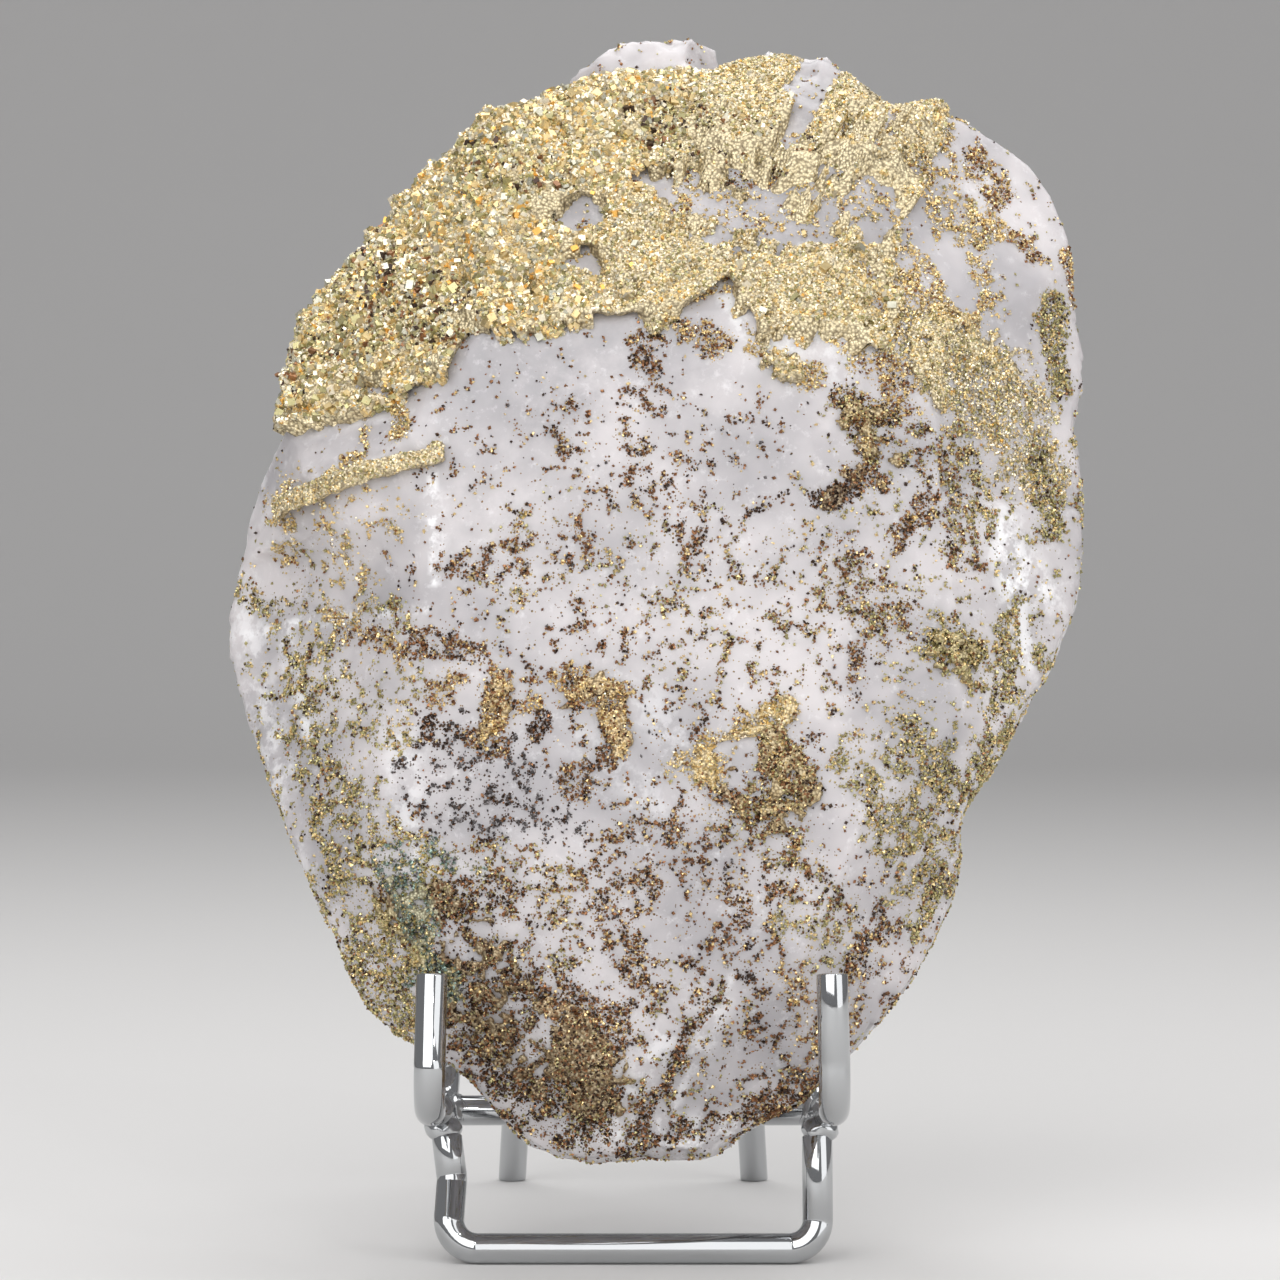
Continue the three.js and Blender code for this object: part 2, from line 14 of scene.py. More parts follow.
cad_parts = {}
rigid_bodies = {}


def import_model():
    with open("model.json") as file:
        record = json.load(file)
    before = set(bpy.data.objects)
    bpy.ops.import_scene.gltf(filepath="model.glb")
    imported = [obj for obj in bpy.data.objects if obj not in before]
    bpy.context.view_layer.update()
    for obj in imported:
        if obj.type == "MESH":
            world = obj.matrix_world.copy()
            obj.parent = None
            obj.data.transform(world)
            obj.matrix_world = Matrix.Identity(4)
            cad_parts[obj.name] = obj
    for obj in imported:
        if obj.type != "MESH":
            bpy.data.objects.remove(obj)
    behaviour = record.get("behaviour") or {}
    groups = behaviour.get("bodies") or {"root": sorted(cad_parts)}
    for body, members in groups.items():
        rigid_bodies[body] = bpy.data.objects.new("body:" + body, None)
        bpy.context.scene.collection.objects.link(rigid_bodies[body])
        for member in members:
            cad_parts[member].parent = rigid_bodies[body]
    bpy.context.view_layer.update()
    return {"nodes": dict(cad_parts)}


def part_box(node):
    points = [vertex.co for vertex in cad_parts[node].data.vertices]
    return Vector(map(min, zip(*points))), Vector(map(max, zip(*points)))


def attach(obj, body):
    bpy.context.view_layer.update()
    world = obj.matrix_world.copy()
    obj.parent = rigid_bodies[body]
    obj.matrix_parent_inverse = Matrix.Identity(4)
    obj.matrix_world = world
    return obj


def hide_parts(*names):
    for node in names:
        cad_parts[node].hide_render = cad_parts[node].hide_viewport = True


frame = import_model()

bl_info = {
    "name": "Pyrite on Calcite",
    "version": (1, 0, 0),
    "blender": (4, 5, 0),
    "location": "View3D > Sidebar > Specimen",
    "description": "Builds a calcite crystal with pyrite, leaning in a wire stand",
    "category": "Add Mesh",
}

MM = 0.001

# The stand's own measures, as its solids have them
LEAN = math.radians(7.6)
ARM_SPACING = 40.9 * MM
ARM_HEIGHT = 18.7 * MM
ARM_LENGTH = 38 * MM
HOOK_HEIGHT = 13.7 * MM
HOOK_TOE_IN = 0.3 * MM
BACK_LOOP_HEIGHT = 68 * MM
BACK_LOOP_TOP_WIDTH = 33 * MM
CROSS_BAR_SETBACK = 33 * MM
BASE_LOOP_WIDTH = 38.8 * MM
BASE_LOOP_SETBACK = 19.5 * MM
BASE_LOOP_HEIGHT = 13.4 * MM
BASE_LOOP_TILT = math.radians(15)
REAR_LEG_TOP_WIDTH = 18 * MM
REAR_FOOT_SPACING = 29 * MM
REAR_FOOT_SETBACK = 82 * MM
WIRE_RADIUS = 1.6 * MM
CRADLE_BEND = 5 * MM
BASE_BEND = 3 * MM
REAR_BEND = 4 * MM
TIP_ROUNDING = 0.22 * MM
GAP = 0.3 * MM
STONE_MIDDLE = (0, 19 * MM, 55 * MM)

# The middle between the hooks, and the leaning frame of the stone and its cradle
BAR_LOW, BAR_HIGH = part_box("base_loop")
MIDDLE_X = (BAR_LOW.x + BAR_HIGH.x) / 2
HOOK_PLANE_Y = BAR_LOW.y + WIRE_RADIUS - BASE_LOOP_SETBACK
LEANING = Matrix.Translation((MIDDLE_X, HOOK_PLANE_Y, ARM_HEIGHT)) @ Matrix.Rotation(-LEAN, 4, "X")

# The camera: level with the middle of the stone, looking a little down at the hooks
CAMERA_DISTANCE = 500 * MM
CAMERA_PLACE = Vector((MIDDLE_X + 0.8 * MM, HOOK_PLANE_Y - CAMERA_DISTANCE, 85 * MM))
CAMERA_PITCH = math.radians(2.18)
CAMERA_LENS = 140.6

PATCHES = ("centre", "arch", "foot", "left", "right", "side")
MERGE_DISTANCE = 1e-6

# The most triangles that a piece of grains may have
MOST_TRIANGLES = 190000

# Fineness of the skin of the clusters' beds
CLUSTER_CELL = 0.3 * MM

# Rounds of smoothing for each skin, and those for the marked places of the stone
CALCITE_SMOOTHING = 1
CRUST_SMOOTHING = 6
CLUSTER_SMOOTHING = 2
MARKED_SMOOTHING = 160

# Two directions in which the calcite cleaves, in the leaning frame, and how far apart its steps
# are there, in mm
CLEAVAGE = (0.28, 0.5, 0.92)
CLEAVAGE_SPACING = 4.2
CROSS_CLEAVAGE = (0.9, -0.35, 0.3)
CROSS_SPACING = 6.5

# How far the pyrite beds lie inside their solids, and how much deeper where they are bare, in mm
CRUST_DEPTH = 1.0
BARE_DEPTH = 3.4
CLUSTER_DEPTH = 0.9
CLUSTER_BARE_DEPTH = 1.5
RIDGE_DEPTH = 0.7

# Grains to a square mm
SAND_DENSITY = 12.0
CRYSTAL_DENSITY = 6.2
CLUSTER_DENSITY = 13.0
LOOSE_DENSITY = 18.0

# The smallest and largest grains against the usual one, a grain's sides against each other, and
# how much darker and lighter a grain may be than its colour
SAND_SPREAD = (0.7, 1.35)
CLUSTER_SPREAD = (0.6, 1.3)
LOOSE_SPREAD = (0.55, 1.4)
STRETCH = (0.6, 1.3)
TONE_SPREAD = (0.7, 1.25)

# How far the side of a crust or cluster that carries grains may turn towards the stone's middle
LEAST_OUTWARD = -0.15

# How bare the crust may be where grains still stand on it
BARE_LIMIT = 0.55

# How far out of a surface the middle of a grain stands, in widths of the grain
GRAIN_STAND = 0.05
CRYSTAL_STAND = -0.05

# The deepest that a place of the calcite may lie in a pyrite bed
BED_REACH = 4 * MM

# The reach of an octahedron's corners, for grains about 1 across
OCTAHEDRON_REACH = 0.58

# How soft the edges of the streaks, of the crust's bare places and of the marks in the calcite are
STREAK_SOFTNESS = 0.45
BARE_SOFTNESS = 0.5
CLEAN_SOFTNESS = 0.4
DUSKY_SOFTNESS = 0.8
VEIL_SOFTNESS = 0.8
GREY_SOFTNESS = 0.5

# How much of each colour of grain a mixture holds
MIXTURES = {
    "gold": {"gold": 0.62, "pale": 0.2, "olive": 0.1, "bronze": 0.08},
    "amber": {"gold": 0.5, "bronze": 0.36, "dark": 0.08, "pale": 0.06},
    "bronze": {"bronze": 0.5, "dark": 0.24, "gold": 0.2, "steel": 0.06},
    "brown": {"bronze": 0.34, "olive": 0.24, "dark": 0.2, "gold": 0.22},
    "dark": {"dark": 0.7, "bronze": 0.25, "gold": 0.05},
    # Umber is partly the grains' own dark brown and partly painted shade over the lower part of the stone,
    # where it streaks
    "umber": {"dark": 0.42, "bronze": 0.36, "olive": 0.12, "gold": 0.1},
    "olive": {"olive": 0.52, "gold": 0.3, "dark": 0.1, "bronze": 0.08},
    "steel": {"steel": 0.6, "dark": 0.26, "bronze": 0.14},
    "teal": {"teal": 0.44, "olive": 0.26, "steel": 0.18, "gold": 0.12},
    "sand": {"pale": 0.4, "gold": 0.32, "olive": 0.2, "grey": 0.07, "orange": 0.01},
    "facets": {"pale": 0.27, "gold": 0.34, "olive": 0.16, "grey": 0.18, "orange": 0.05},
    # The shade mixture is partly darker grains and partly painted shade on the crust
    "shade": {"olive": 0.42, "grey": 0.18, "dark": 0.22, "bronze": 0.18},
}

# Streaks of loose grains on the side that the camera sees, in mm right of and above the middle of
# its view: from, to, half width, how closely the grains cover the stone, mixture
STREAKS = [
    (-31, 24.5, -29.5, 19, 1.6, 0.75, "gold"),
    (-28, 24, -28.4, 17, 1, 0.6, "gold"),
    (-24.5, 25.5, -24.2, 20, 0.8, 0.7, "gold"),
    (0.5, 30.5, 1.2, 24, 1.6, 0.55, "bronze"),
    (5, 31, 7.5, 29.5, 1.4, 0.75, "amber"),
    (12, 29.5, 17, 26, 1.2, 0.95, "gold"),
    (16, 31.5, 23, 29.5, 1.6, 0.7, "gold"),
    (24, 33, 30.5, 34, 5, 0.85, "gold"),
    (29, 30, 36, 24, 4.5, 0.92, "sand"),
    (34.5, 24, 40, 17, 3, 0.86, "sand"),
    (39.5, 20, 41.2, 11.5, 1.3, 0.9, "olive"),
    (41, 34, 42, 25, 1.2, 0.85, "olive"),
    (24, 29, 26.5, 24, 2.2, 0.6, "amber"),
    (20.5, 24, 23, 19, 1.6, 0.68, "brown"),
    (23, 23, 28.5, 21, 1.2, 0.55, "brown"),
    (25, 20, 29.5, 17, 1.2, 0.45, "brown"),
    (18, 14.3, 20.5, 15, 1.2, 0.95, "dark"),
    (20.5, 17, 24, 16, 1, 0.7, "bronze"),
    (29.5, 18, 32.5, 8, 2.2, 0.48, "brown"),
    (32.5, 21, 34.5, 12, 1.4, 0.55, "olive"),
    (26, 10, 29, 14, 1.4, 0.55, "bronze"),
    (21, 6, 26, 1.5, 2.8, 0.6, "brown"),
    (21, 9.5, 24, 5, 1.4, 0.5, "bronze"),
    (29.5, 0, 34, -1.5, 2.4, 0.6, "olive"),
    (30, 1.5, 34.5, -4.5, 1.4, 0.6, "olive"),
    (22, -1, 21.5, -6, 1.2, 0.55, "bronze"),
    (37, 2, 36, -10, 1.3, 0.72, "olive"),
    (39.5, 4, 40, -2, 0.9, 0.5, "olive"),
    (34.5, -10, 33.5, -16, 1.4, 0.7, "olive"),
    (26, -10, 31, -15, 2.6, 0.62, "olive"),
    (29, -15, 26, -20, 2.6, 0.6, "olive"),
    (21, -12, 24, -18, 2.4, 0.5, "olive"),
    (30.5, -21, 26, -26.5, 1.8, 0.62, "olive"),
    (24.5, -28, 21, -34.5, 2, 0.55, "bronze"),
    (31, -23, 27.5, -30, 0.8, 0.6, "olive"),
    (21, -34.5, 18.5, -42, 1.8, 0.6, "amber"),
    (8, -18, 15, -21, 2.6, 0.55, "brown"),
    (6, -16, 5, -21, 2.2, 0.42, "bronze"),
    (13, -9.5, 15.7, -14.7, 2.4, 0.93, "brown"),
    (4, -12.8, 7.2, -14, 1.4, 0.82, "gold"),
    (6.5, -15, 9.5, -16, 1.2, 0.6, "bronze"),
    (11, -16, 14.5, -18.5, 1.8, 0.62, "brown"),
    (5.2, -12.2, 14.8, -6.6, 1.3, 0.97, "gold"),
    (-10.5, -9.5, -9.5, -8, 1, 0.8, "dark"),
    (-12, -6, -11, -3, 0.8, 0.5, "bronze"),
    (-7.8, -3.8, -3.5, -5, 1.4, 0.85, "amber"),
    (-2.8, -5, -2.2, -10, 1.6, 0.92, "amber"),
    (-4, -11, -3.5, -12.5, 1, 0.8, "bronze"),
    (-11.5, -6.5, -10, -6, 0.7, 0.8, "amber"),
    (-15.2, -9.5, -14, -4, 1.4, 0.9, "amber"),
    (-16.5, -9.5, -14.5, -10.5, 1.2, 0.9, "bronze"),
    (-20, -5.5, -18.5, -3, 1.4, 0.65, "amber"),
    (-21.5, -8, -20, -10, 1.2, 0.55, "dark"),
    (-7, -14.5, -6, -13.5, 1.6, 0.85, "bronze"),
    (-22.5, -13, -14, -15, 2.8, 0.33, "steel"),
    (-17, -10, -10, -17, 3.4, 0.28, "steel"),
    (-20, -17, -8, -18, 2.4, 0.3, "steel"),
    (-22.5, 0, -16, -1.5, 1.4, 0.6, "bronze"),
    (-29.5, 1.5, -24, -1, 1.4, 0.5, "amber"),
    (-19.5, 7.5, -12, 7, 1.2, 0.5, "bronze"),
    (-16, 8, -8, 11, 1, 0.42, "bronze"),
    (-8, 24, -6, 17, 1.6, 0.25, "bronze"),
    (-1, 24, 0.5, 14, 1.8, 0.32, "bronze"),
    (-4, 14, -8, 8, 2.2, 0.32, "bronze"),
    (3, 17, 6, 8, 2, 0.28, "bronze"),
    (-8, 8, 19, 4, 7, 0.22, "brown"),
    (0, 0, 16, -4, 5, 0.2, "brown"),
    (-8, 2, 0, 0, 3, 0.22, "bronze"),
    (6, 14.8, 8.5, 12.2, 0.3, 0.45, "dark"),
    (8.5, 12, 15, 14.5, 0.3, 0.45, "dark"),
    (-36.5, 14, -35, 8, 1.2, 0.4, "gold"),
    (-34.5, 8, -32, 0, 1.6, 0.3, "olive"),
    (-31, 10, -27, 4, 1.8, 0.3, "gold"),
    (-40, 5, -36, 2, 1, 0.35, "olive"),
    (-34, -2, -31, -12, 2.6, 0.5, "olive"),
    (-31, -14, -27, -19, 3, 0.5, "olive"),
    (-30, -5, -25, -10, 2.2, 0.35, "olive"),
    (-35.5, -9, -31, -21, 1.2, 0.45, "olive"),
    (-26, -19, -21, -23, 2.2, 0.55, "olive"),
    (-24.5, -22, -22, -29, 2.4, 0.72, "teal"),
    (-26, -30, -20, -34.5, 3, 0.6, "teal"),
    (-21, -21, -16.5, -23, 1.2, 0.6, "teal"),
    (-29.5, -24, -24, -32, 3, 0.62, "olive"),
    # The umber streaks over the lower part of the stone and its foot are darker partly as painted shade
    # there
    (-24, -26, -14, -26, 3.2, 0.58, "umber"),
    (-20, -31, -12, -35, 4, 0.52, "umber"),
    (-28, -32, -22, -40, 2.2, 0.78, "olive"),
    (-19, -38, -12, -42, 2.6, 0.6, "umber"),
    (-16, -42, -8, -47, 2.6, 0.8, "umber"),
    (-6, -40.5, -5.5, -46.5, 3.4, 0.97, "umber"),
    (-8, -36, -4, -39, 2.4, 0.75, "bronze"),
    (-3, -36, -2, -40, 1.6, 0.6, "bronze"),
    (-3, -28, 0, -34, 2.2, 0.5, "bronze"),
    (0, -24, -2, -27, 2.6, 0.55, "bronze"),
    (-16, -22, -8, -24, 2.6, 0.45, "brown"),
    (-8, -26, -8, -33, 2.4, 0.35, "brown"),
    (0, -18, -4, -22, 2.4, 0.4, "bronze"),
    (6, -24, 12, -24, 2.6, 0.4, "bronze"),
    (14, -21, 19, -26, 2.8, 0.45, "brown"),
    (5, -30, 6, -36, 2, 0.32, "bronze"),
    (10, -29, 14, -36, 2.6, 0.34, "bronze"),
    (9.8, -33.5, 11.2, -33.5, 0.7, 0.95, "dark"),
    (16, -28, 21, -32, 2.6, 0.45, "olive"),
    (13, -38, 12, -42, 1.8, 0.4, "bronze"),
    (15, -34, 17.5, -41, 2, 0.5, "amber"),
    (11.7, -46.8, 16, -44.5, 1.6, 0.92, "bronze"),
    (0, -50, 10, -48, 1.2, 0.5, "umber"),
    (-14, -48, -2, -51, 1.2, 0.6, "umber"),
    (-0.3, -49.5, 7.8, -35, 0.5, 1.2, "umber"),
    (0, -47, 5, -40.5, 0.5, 0.5, "bronze"),
    (33.5, 48, 36, 44.5, 1.6, 0.75, "amber"),
    (30.5, 51, 32.2, 46.5, 0.9, 0.7, "gold"),
    (37.2, 40, 40, 38.2, 0.8, 0.7, "amber"),
    (34.5, 42.5, 34.5, 33, 1, 0.6, "gold"),
    (42.6, 39, 43.4, 34, 0.6, 0.7, "amber"),
    (43.4, 20, 44, 12, 0.6, 0.4, "olive"),
    (-34, 16, -24, 12, 2.2, 0.2, "gold"),
    (25, 54, 34.5, 52.8, 0.9, 0.95, "gold"),
    (25, 51, 28.5, 43, 2.6, 0.88, "gold"),
    (29, 45.5, 34.5, 40.8, 2, 0.72, "gold"),
    (5, 43, 24, 44.5, 3, 0.4, "gold"),
    (7.2, 37.8, 9.8, 35, 1.2, 0.97, "gold"),
    (1.5, 33.4, 7, 35.2, 1.2, 1.1, "gold"),
    (21, 31, 24, 26, 1.2, 0.6, "amber"),
    (36, 26, 37, 20, 1.6, 0.6, "gold"),
    (3, 48.5, 13.5, 46.5, 1.8, 0.65, "brown"),
    (-9, 44, -4, 44, 1.4, 0.3, "gold"),
    (-8, 39, -3.5, 39.2, 1.2, 0.4, "gold"),
    (15.5, 53, 16, 51, 1.6, 0.5, "gold"),
    (-39, 4.5, -35.5, 2.8, 0.9, 0.55, "olive"),
    (-31.2, 3, -29, 1.8, 0.9, 0.8, "gold"),
    (-26.5, 4, -24, 2, 1.4, 0.6, "olive"),
]

# The hollow in the crust, where the calcite shows between loose grains, given as the streaks are:
# from, to, half width, how bare
HOLLOW = [
    (7.5, 46.5, 23.5, 45, 4.4, 0.92),
    (17, 47.5, 25, 46, 2.2, 0.6),
]

# Places in and beside the crust that have hardly a grain, given in the same way
BARE = [
    (19.3, 59.5, 15.3, 52, 1.4, 1.1),
    (15, 52, 13, 48.5, 1.5, 0.85),
    (-5, 60, 6, 62.5, 2.2, 1),
    (-9, 43.5, -5, 43.5, 1.6, 0.9),
    (-7.5, 39.2, -4, 39, 1.2, 0.8),
    (24, 53, 27, 36, 3.6, 0.42),
    (27.3, 43.5, 28.6, 40, 1.3, 1),
    (30.4, 39.5, 32.6, 34.5, 1.7, 1),
    (-18, 32, 6, 33, 1, 0.5),
    (6.5, 33, 9.5, 34.5, 1.4, 0.8),
    (12.5, 30.5, 22, 30, 1.7, 0.85),
    (-36, 24, -20, 27.5, 1, 0.5),
    (-38, 18.8, -30, 20.6, 2.5, 1.2),
    (8.6, -10.8, 11, -10.2, 0.9, 1),
]

# Places where many of the crust's grains are darker, partly their own darker tone and partly painted shade,
# given in the same way
DUSKY = [
    (-26, 36.5, -18.5, 31, 3.6, 0.5),
    (2.5, 51.5, 15, 48, 2.6, 0.6),
    (-16, 48, -9, 45.5, 2.2, 0.35),
    (-36, 27, -28, 31, 2.5, 0.3),
]

# Places where the stone's skin is smoothed further, given as the streaks are
SMOOTH = [
    (-38, 10, -21, 11, 5.5, 1),
    (-24, 12, -24, -9, 5, 1),
    (-22, 29, -19, 22, 4, 1),
]

# Lumps along the stone's top edge, given as the streaks are, with how far they rise in mm
CRESTS = [
    (-6, 58, 7, 60.5, 4, 1.6),
    (14.5, 56.5, 19.5, 58.5, 2.6, 2.3),
]

# How far behind the hooks' plane the smoothing reaches, in mm
SMOOTH_DEPTH = 14

# Wide fields of thinly strewn grains, given as the streaks are
FIELDS = [
    (-12, 14, 4, 10, 13, 0.07, "bronze"),
    (-8, 6, 20, 2, 9, 0.12, "brown"),
    (-10, -20, 20, -25, 22, 0.13, "bronze"),
    (-28, -10, -25, -30, 12, 0.12, "olive"),
    (28, 10, 25, -20, 12, 0.12, "olive"),
    (-20, -38, 15, -45, 14, 0.2, "brown"),
]

# White veils and fractures in the calcite, and grey, clearer places, in mm of the same view
VEILS = [
    (-20.7, 16.5, -20.8, 6, 0.45, 0.9),
    (-20.6, 14, -20.2, 10, 0.9, 0.6),
    (36.5, 11.5, 38, 5, 1.7, 1),
    (38.5, 8, 41, 4.5, 1.4, 0.85),
    (37.5, 8, 38.5, -2, 1.2, 0.8),
    (-40.5, 5, -36, -14, 1.6, 0.55),
    (-37, -16, -31, -32, 1.2, 0.5),
    (-24, -9, -22.5, -22, 1.8, 0.5),
    (-31, 2.3, -21.5, 3, 0.4, 0.95),
    (-40.5, 0.3, -31, 2.3, 0.45, 0.95),
    (-35.5, 0, -33, -10, 0.8, 0.8),
    (-24, -9.5, -23.2, -14.5, 0.5, 0.7),
    (13.5, 29.5, 20.5, 28, 2.2, 0.5),
    (-6.5, -49.5, 13, -49, 1.6, 0.7),
    (3, -47, 9, -34, 0.5, 0.5),
    (-1.5, -46, 2.5, -40, 1.2, 0.5),
    (6, -42, 8, -36, 1.2, 0.4),
    (0, -6, 6.5, -12, 2, 0.35),
    (-6, -10, 1.5, -16.5, 1.4, 0.35),
    (7.5, 36, 10.5, 31, 0.8, 0.6),
    (-33, 20.5, -20, 23.5, 0.3, 0.3),
]
GREYS = [
    (-13, 27.5, -9, 24.5, 5.5, 0.85),
    (-5, 30, 4, 29, 4, 0.7),
    (-18, 20, -8, 12, 9, 0.4),
    (-31, 18, -24, 20, 6, 0.4),
    (-30, 8, -25, 12, 6.5, 0.2),
    (-12, 43.5, -6, 44, 3, 0.95),
    (12, 43, 24, 45, 6, 0.8),
    (16, 57, 18, 52, 3, 0.8),
    (-8, 39, -3, 39.5, 2.5, 0.8),
    (12, 20, 22, 12, 9, 0.25),
    (0, -5, -12, -20, 10, 0.3),
    (-15, -25, 10, -30, 12, 0.3),
    (2.5, -45, 11, -42, 4, 0.35),
]


# Settings that a user would change


class CalciteSettings(bpy.types.PropertyGroup):
    cell: FloatProperty(
        name="Cell", description="Fineness of the crystal's skin", default=0.56 * MM, unit="LENGTH")
    inset: FloatProperty(
        name="Inset", description="How far the skin lies inside its solid", default=0.15 * MM, unit="LENGTH")
    terrace: FloatProperty(
        name="Terrace", description="Height of the cleavage steps", default=0.5 * MM, unit="LENGTH")
    milk: FloatVectorProperty(
        name="Milk", description="Colour of the milky calcite", default=(0.66, 0.625, 0.63), subtype="COLOR")
    grey: FloatVectorProperty(
        name="Grey", description="Colour of clearer calcite", default=(0.38, 0.365, 0.38), subtype="COLOR")
    white: FloatVectorProperty(
        name="White", description="Colour of the veils", default=(0.92, 0.91, 0.92), subtype="COLOR")


class PyriteSettings(bpy.types.PropertyGroup):
    cell: FloatProperty(
        name="Cell", description="Fineness of the crust's skin", default=0.36 * MM, unit="LENGTH")
    fine: FloatProperty(
        name="Fine grain", description="Usual width of a fine grain", default=0.35 * MM, unit="LENGTH")
    coarse: FloatProperty(
        name="Coarse grain", description="Usual width of a coarse crystal", default=0.56 * MM, unit="LENGTH")
    loose: FloatProperty(
        name="Loose grain", description="Usual width of a loose grain", default=0.29 * MM, unit="LENGTH")
    gold: FloatVectorProperty(
        name="Gold", description="Colour of fresh pyrite", default=(0.84, 0.65, 0.33), subtype="COLOR")
    pale: FloatVectorProperty(
        name="Pale", description="Colour of the palest pyrite", default=(0.92, 0.82, 0.62), subtype="COLOR")
    orange: FloatVectorProperty(
        name="Orange", description="Colour of the warmest pyrite", default=(0.9, 0.5, 0.12), subtype="COLOR")
    grey: FloatVectorProperty(
        name="Grey", description="Colour of greyish facets", default=(0.62, 0.6, 0.48), subtype="COLOR")
    bronze: FloatVectorProperty(
        name="Bronze", description="Colour of tarnished pyrite", default=(0.3, 0.15, 0.075), subtype="COLOR")
    olive: FloatVectorProperty(
        name="Olive", description="Colour of greenish pyrite", default=(0.48, 0.435, 0.22), subtype="COLOR")
    dark: FloatVectorProperty(
        name="Dark", description="Colour of dark grains", default=(0.07, 0.045, 0.035), subtype="COLOR")
    steel: FloatVectorProperty(
        name="Steel", description="Colour of grey grains", default=(0.14, 0.13, 0.13), subtype="COLOR")
    teal: FloatVectorProperty(
        name="Teal", description="Colour of iridescent grains", default=(0.24, 0.32, 0.28), subtype="COLOR")
    seed: IntProperty(name="Seed", description="Order of the random places", default=11, min=0)


class StandSettings(bpy.types.PropertyGroup):
    sides: IntProperty(name="Sides", description="Sides of the round wire", default=28, min=8)
    bend_steps: IntProperty(name="Bend steps", description="Steps in each bend", default=10, min=2)
    solder: FloatProperty(
        name="Solder", description="Radius of a solder joint", default=2.0 * MM, unit="LENGTH")


class StageSettings(bpy.types.PropertyGroup):
    floor: FloatVectorProperty(
        name="Floor", description="Colour of the floor", default=(0.74, 0.73, 0.72), subtype="COLOR")
    sky: FloatProperty(name="Sky", description="Strength of the light all round", default=0.28, min=0)
    key: FloatProperty(name="Key", description="Power of the key light", default=4.9, unit="POWER")
    fill: FloatProperty(name="Fill", description="Power of the fill light", default=1.6, unit="POWER")
    glints: FloatProperty(
        name="Glints", description="Power of each small light", default=0.14, unit="POWER")


class SpecimenSettings(bpy.types.PropertyGroup):
    calcite: PointerProperty(type=CalciteSettings)
    pyrite: PointerProperty(type=PyriteSettings)
    stand: PointerProperty(type=StandSettings)
    stage: PointerProperty(type=StageSettings)


# Materials


class Value:
    """A number in a material, which adds Math nodes when it is added, multiplied and so on."""

    def __init__(self, finish, socket):
        self.finish = finish
        self.socket = socket

    def _with(self, operation, first, second):
        return self.finish.node("ShaderNodeMath", {"operation": operation}, {0: first, 1: second})

    def __add__(self, other):
        return self._with("ADD", self, other)

    __radd__ = __add__

    def __mul__(self, other):
        return self._with("MULTIPLY", self, other)

    __rmul__ = __mul__

    def __sub__(self, other):
        return self._with("SUBTRACT", self, other)

    def __rsub__(self, other):
        return self._with("SUBTRACT", other, self)


class Finish:
    """A material, whose nodes all come from one method."""

    def __init__(self, name, **constants):
        self.material = bpy.data.materials.new(name)
        self.material.use_nodes = True
        self.tree = self.material.node_tree
        self.shader = self.tree.nodes["Principled BSDF"]
        for socket, value in constants.items():
            self.shader.inputs[socket.replace("_", " ")].default_value = value

    def fill(self, socket, value):
        if isinstance(value, Value):
            self.tree.links.new(value.socket, socket)
        else:
            socket.default_value = value

    def node(self, kind, settings=None, sockets=None, output=0):
        made = self.tree.nodes.new(kind)
        for name, value in (settings or {}).items():
            if name == "stops":
                for place, level in value[2:]:
                    made.color_ramp.elements.new(place)
                for element, (place, level) in zip(made.color_ramp.elements, value):
                    element.position = place
                    element.color = (level, level, level, 1)
            else:
                setattr(made, name, value)
        for name, value in (sockets or {}).items():
            self.fill(made.inputs[name], value)
        return Value(self, made.outputs[output])

    def place(self):
        return self.node("ShaderNodeTexCoord", output="Object")

    def noise(self, size, detail=3, roughness=0.55):
        return self.node("ShaderNodeTexNoise", {}, {
            "Vector": self.place(), "Scale": 1 / size, "Detail": detail, "Roughness": roughness})

    def steps(self, value, *stops):
        """Maps a number through stops of (place, level)."""
        return self.node("ShaderNodeValToRGB", {"stops": stops}, {0: value})

    def mix(self, share, first, second):
        return self.node(
            "ShaderNodeMix", {"data_type": "RGBA"}, {0: share, 6: first, 7: second}, output=2)

    def attribute(self, name, output="Fac"):
        return self.node("ShaderNodeAttribute", {"attribute_name": name}, output=output)

    def cells(self, size):
        """How far each place is from the middle of its cell, and a number that belongs to the cell."""
        gap = self.node("ShaderNodeTexVoronoi", {}, {"Vector": self.place(), "Scale": 1 / size})
        colour = Value(self, gap.socket.node.outputs["Color"])
        return gap, self.node("ShaderNodeSeparateColor", {}, {0: colour})

    def specks(self, size, cover):
        """Round specks of about a size over so much of the surface, and their height."""
        gap, luck = self.cells(size)
        chosen = self.node("ShaderNodeMath", {"operation": "GREATER_THAN"}, {0: cover, 1: luck})
        disc = self.steps(gap, (0.4, 1.0), (0.52, 0.0))
        dome = self.steps(gap, (0.0, 1.0), (0.5, 0.0))
        return chosen * disc, chosen * dome

    def put(self, **values):
        for name, value in values.items():
            self.fill(self.shader.inputs[name.replace("_", " ")], value)

    def bump(self, height, distance, strength=1.0):
        self.put(Normal=self.node(
            "ShaderNodeBump", {}, {"Height": height, "Distance": distance, "Strength": strength}))


# Colours in the gaps between grains, and the one towards which the brightest sand goes
SPECK_GAP = (0.06, 0.035, 0.02, 1.0)
GRAIN_GAP = (0.1, 0.07, 0.04, 1.0)
# The bed's gap colour is painted shade: its sand darkens towards the edges of the cells, where the grains
# meet
BED_GAP_SHADE = (0.1, 0.065, 0.035, 1.0)
BRIGHT_SAND = (0.95, 0.85, 0.6, 1.0)

SPECK_SIZE = 0.27 * MM
DUST_SIZE = 0.19 * MM
SAND_SIZE = 0.34 * MM


def solid_colour(colour):
    return (*colour, 1.0)


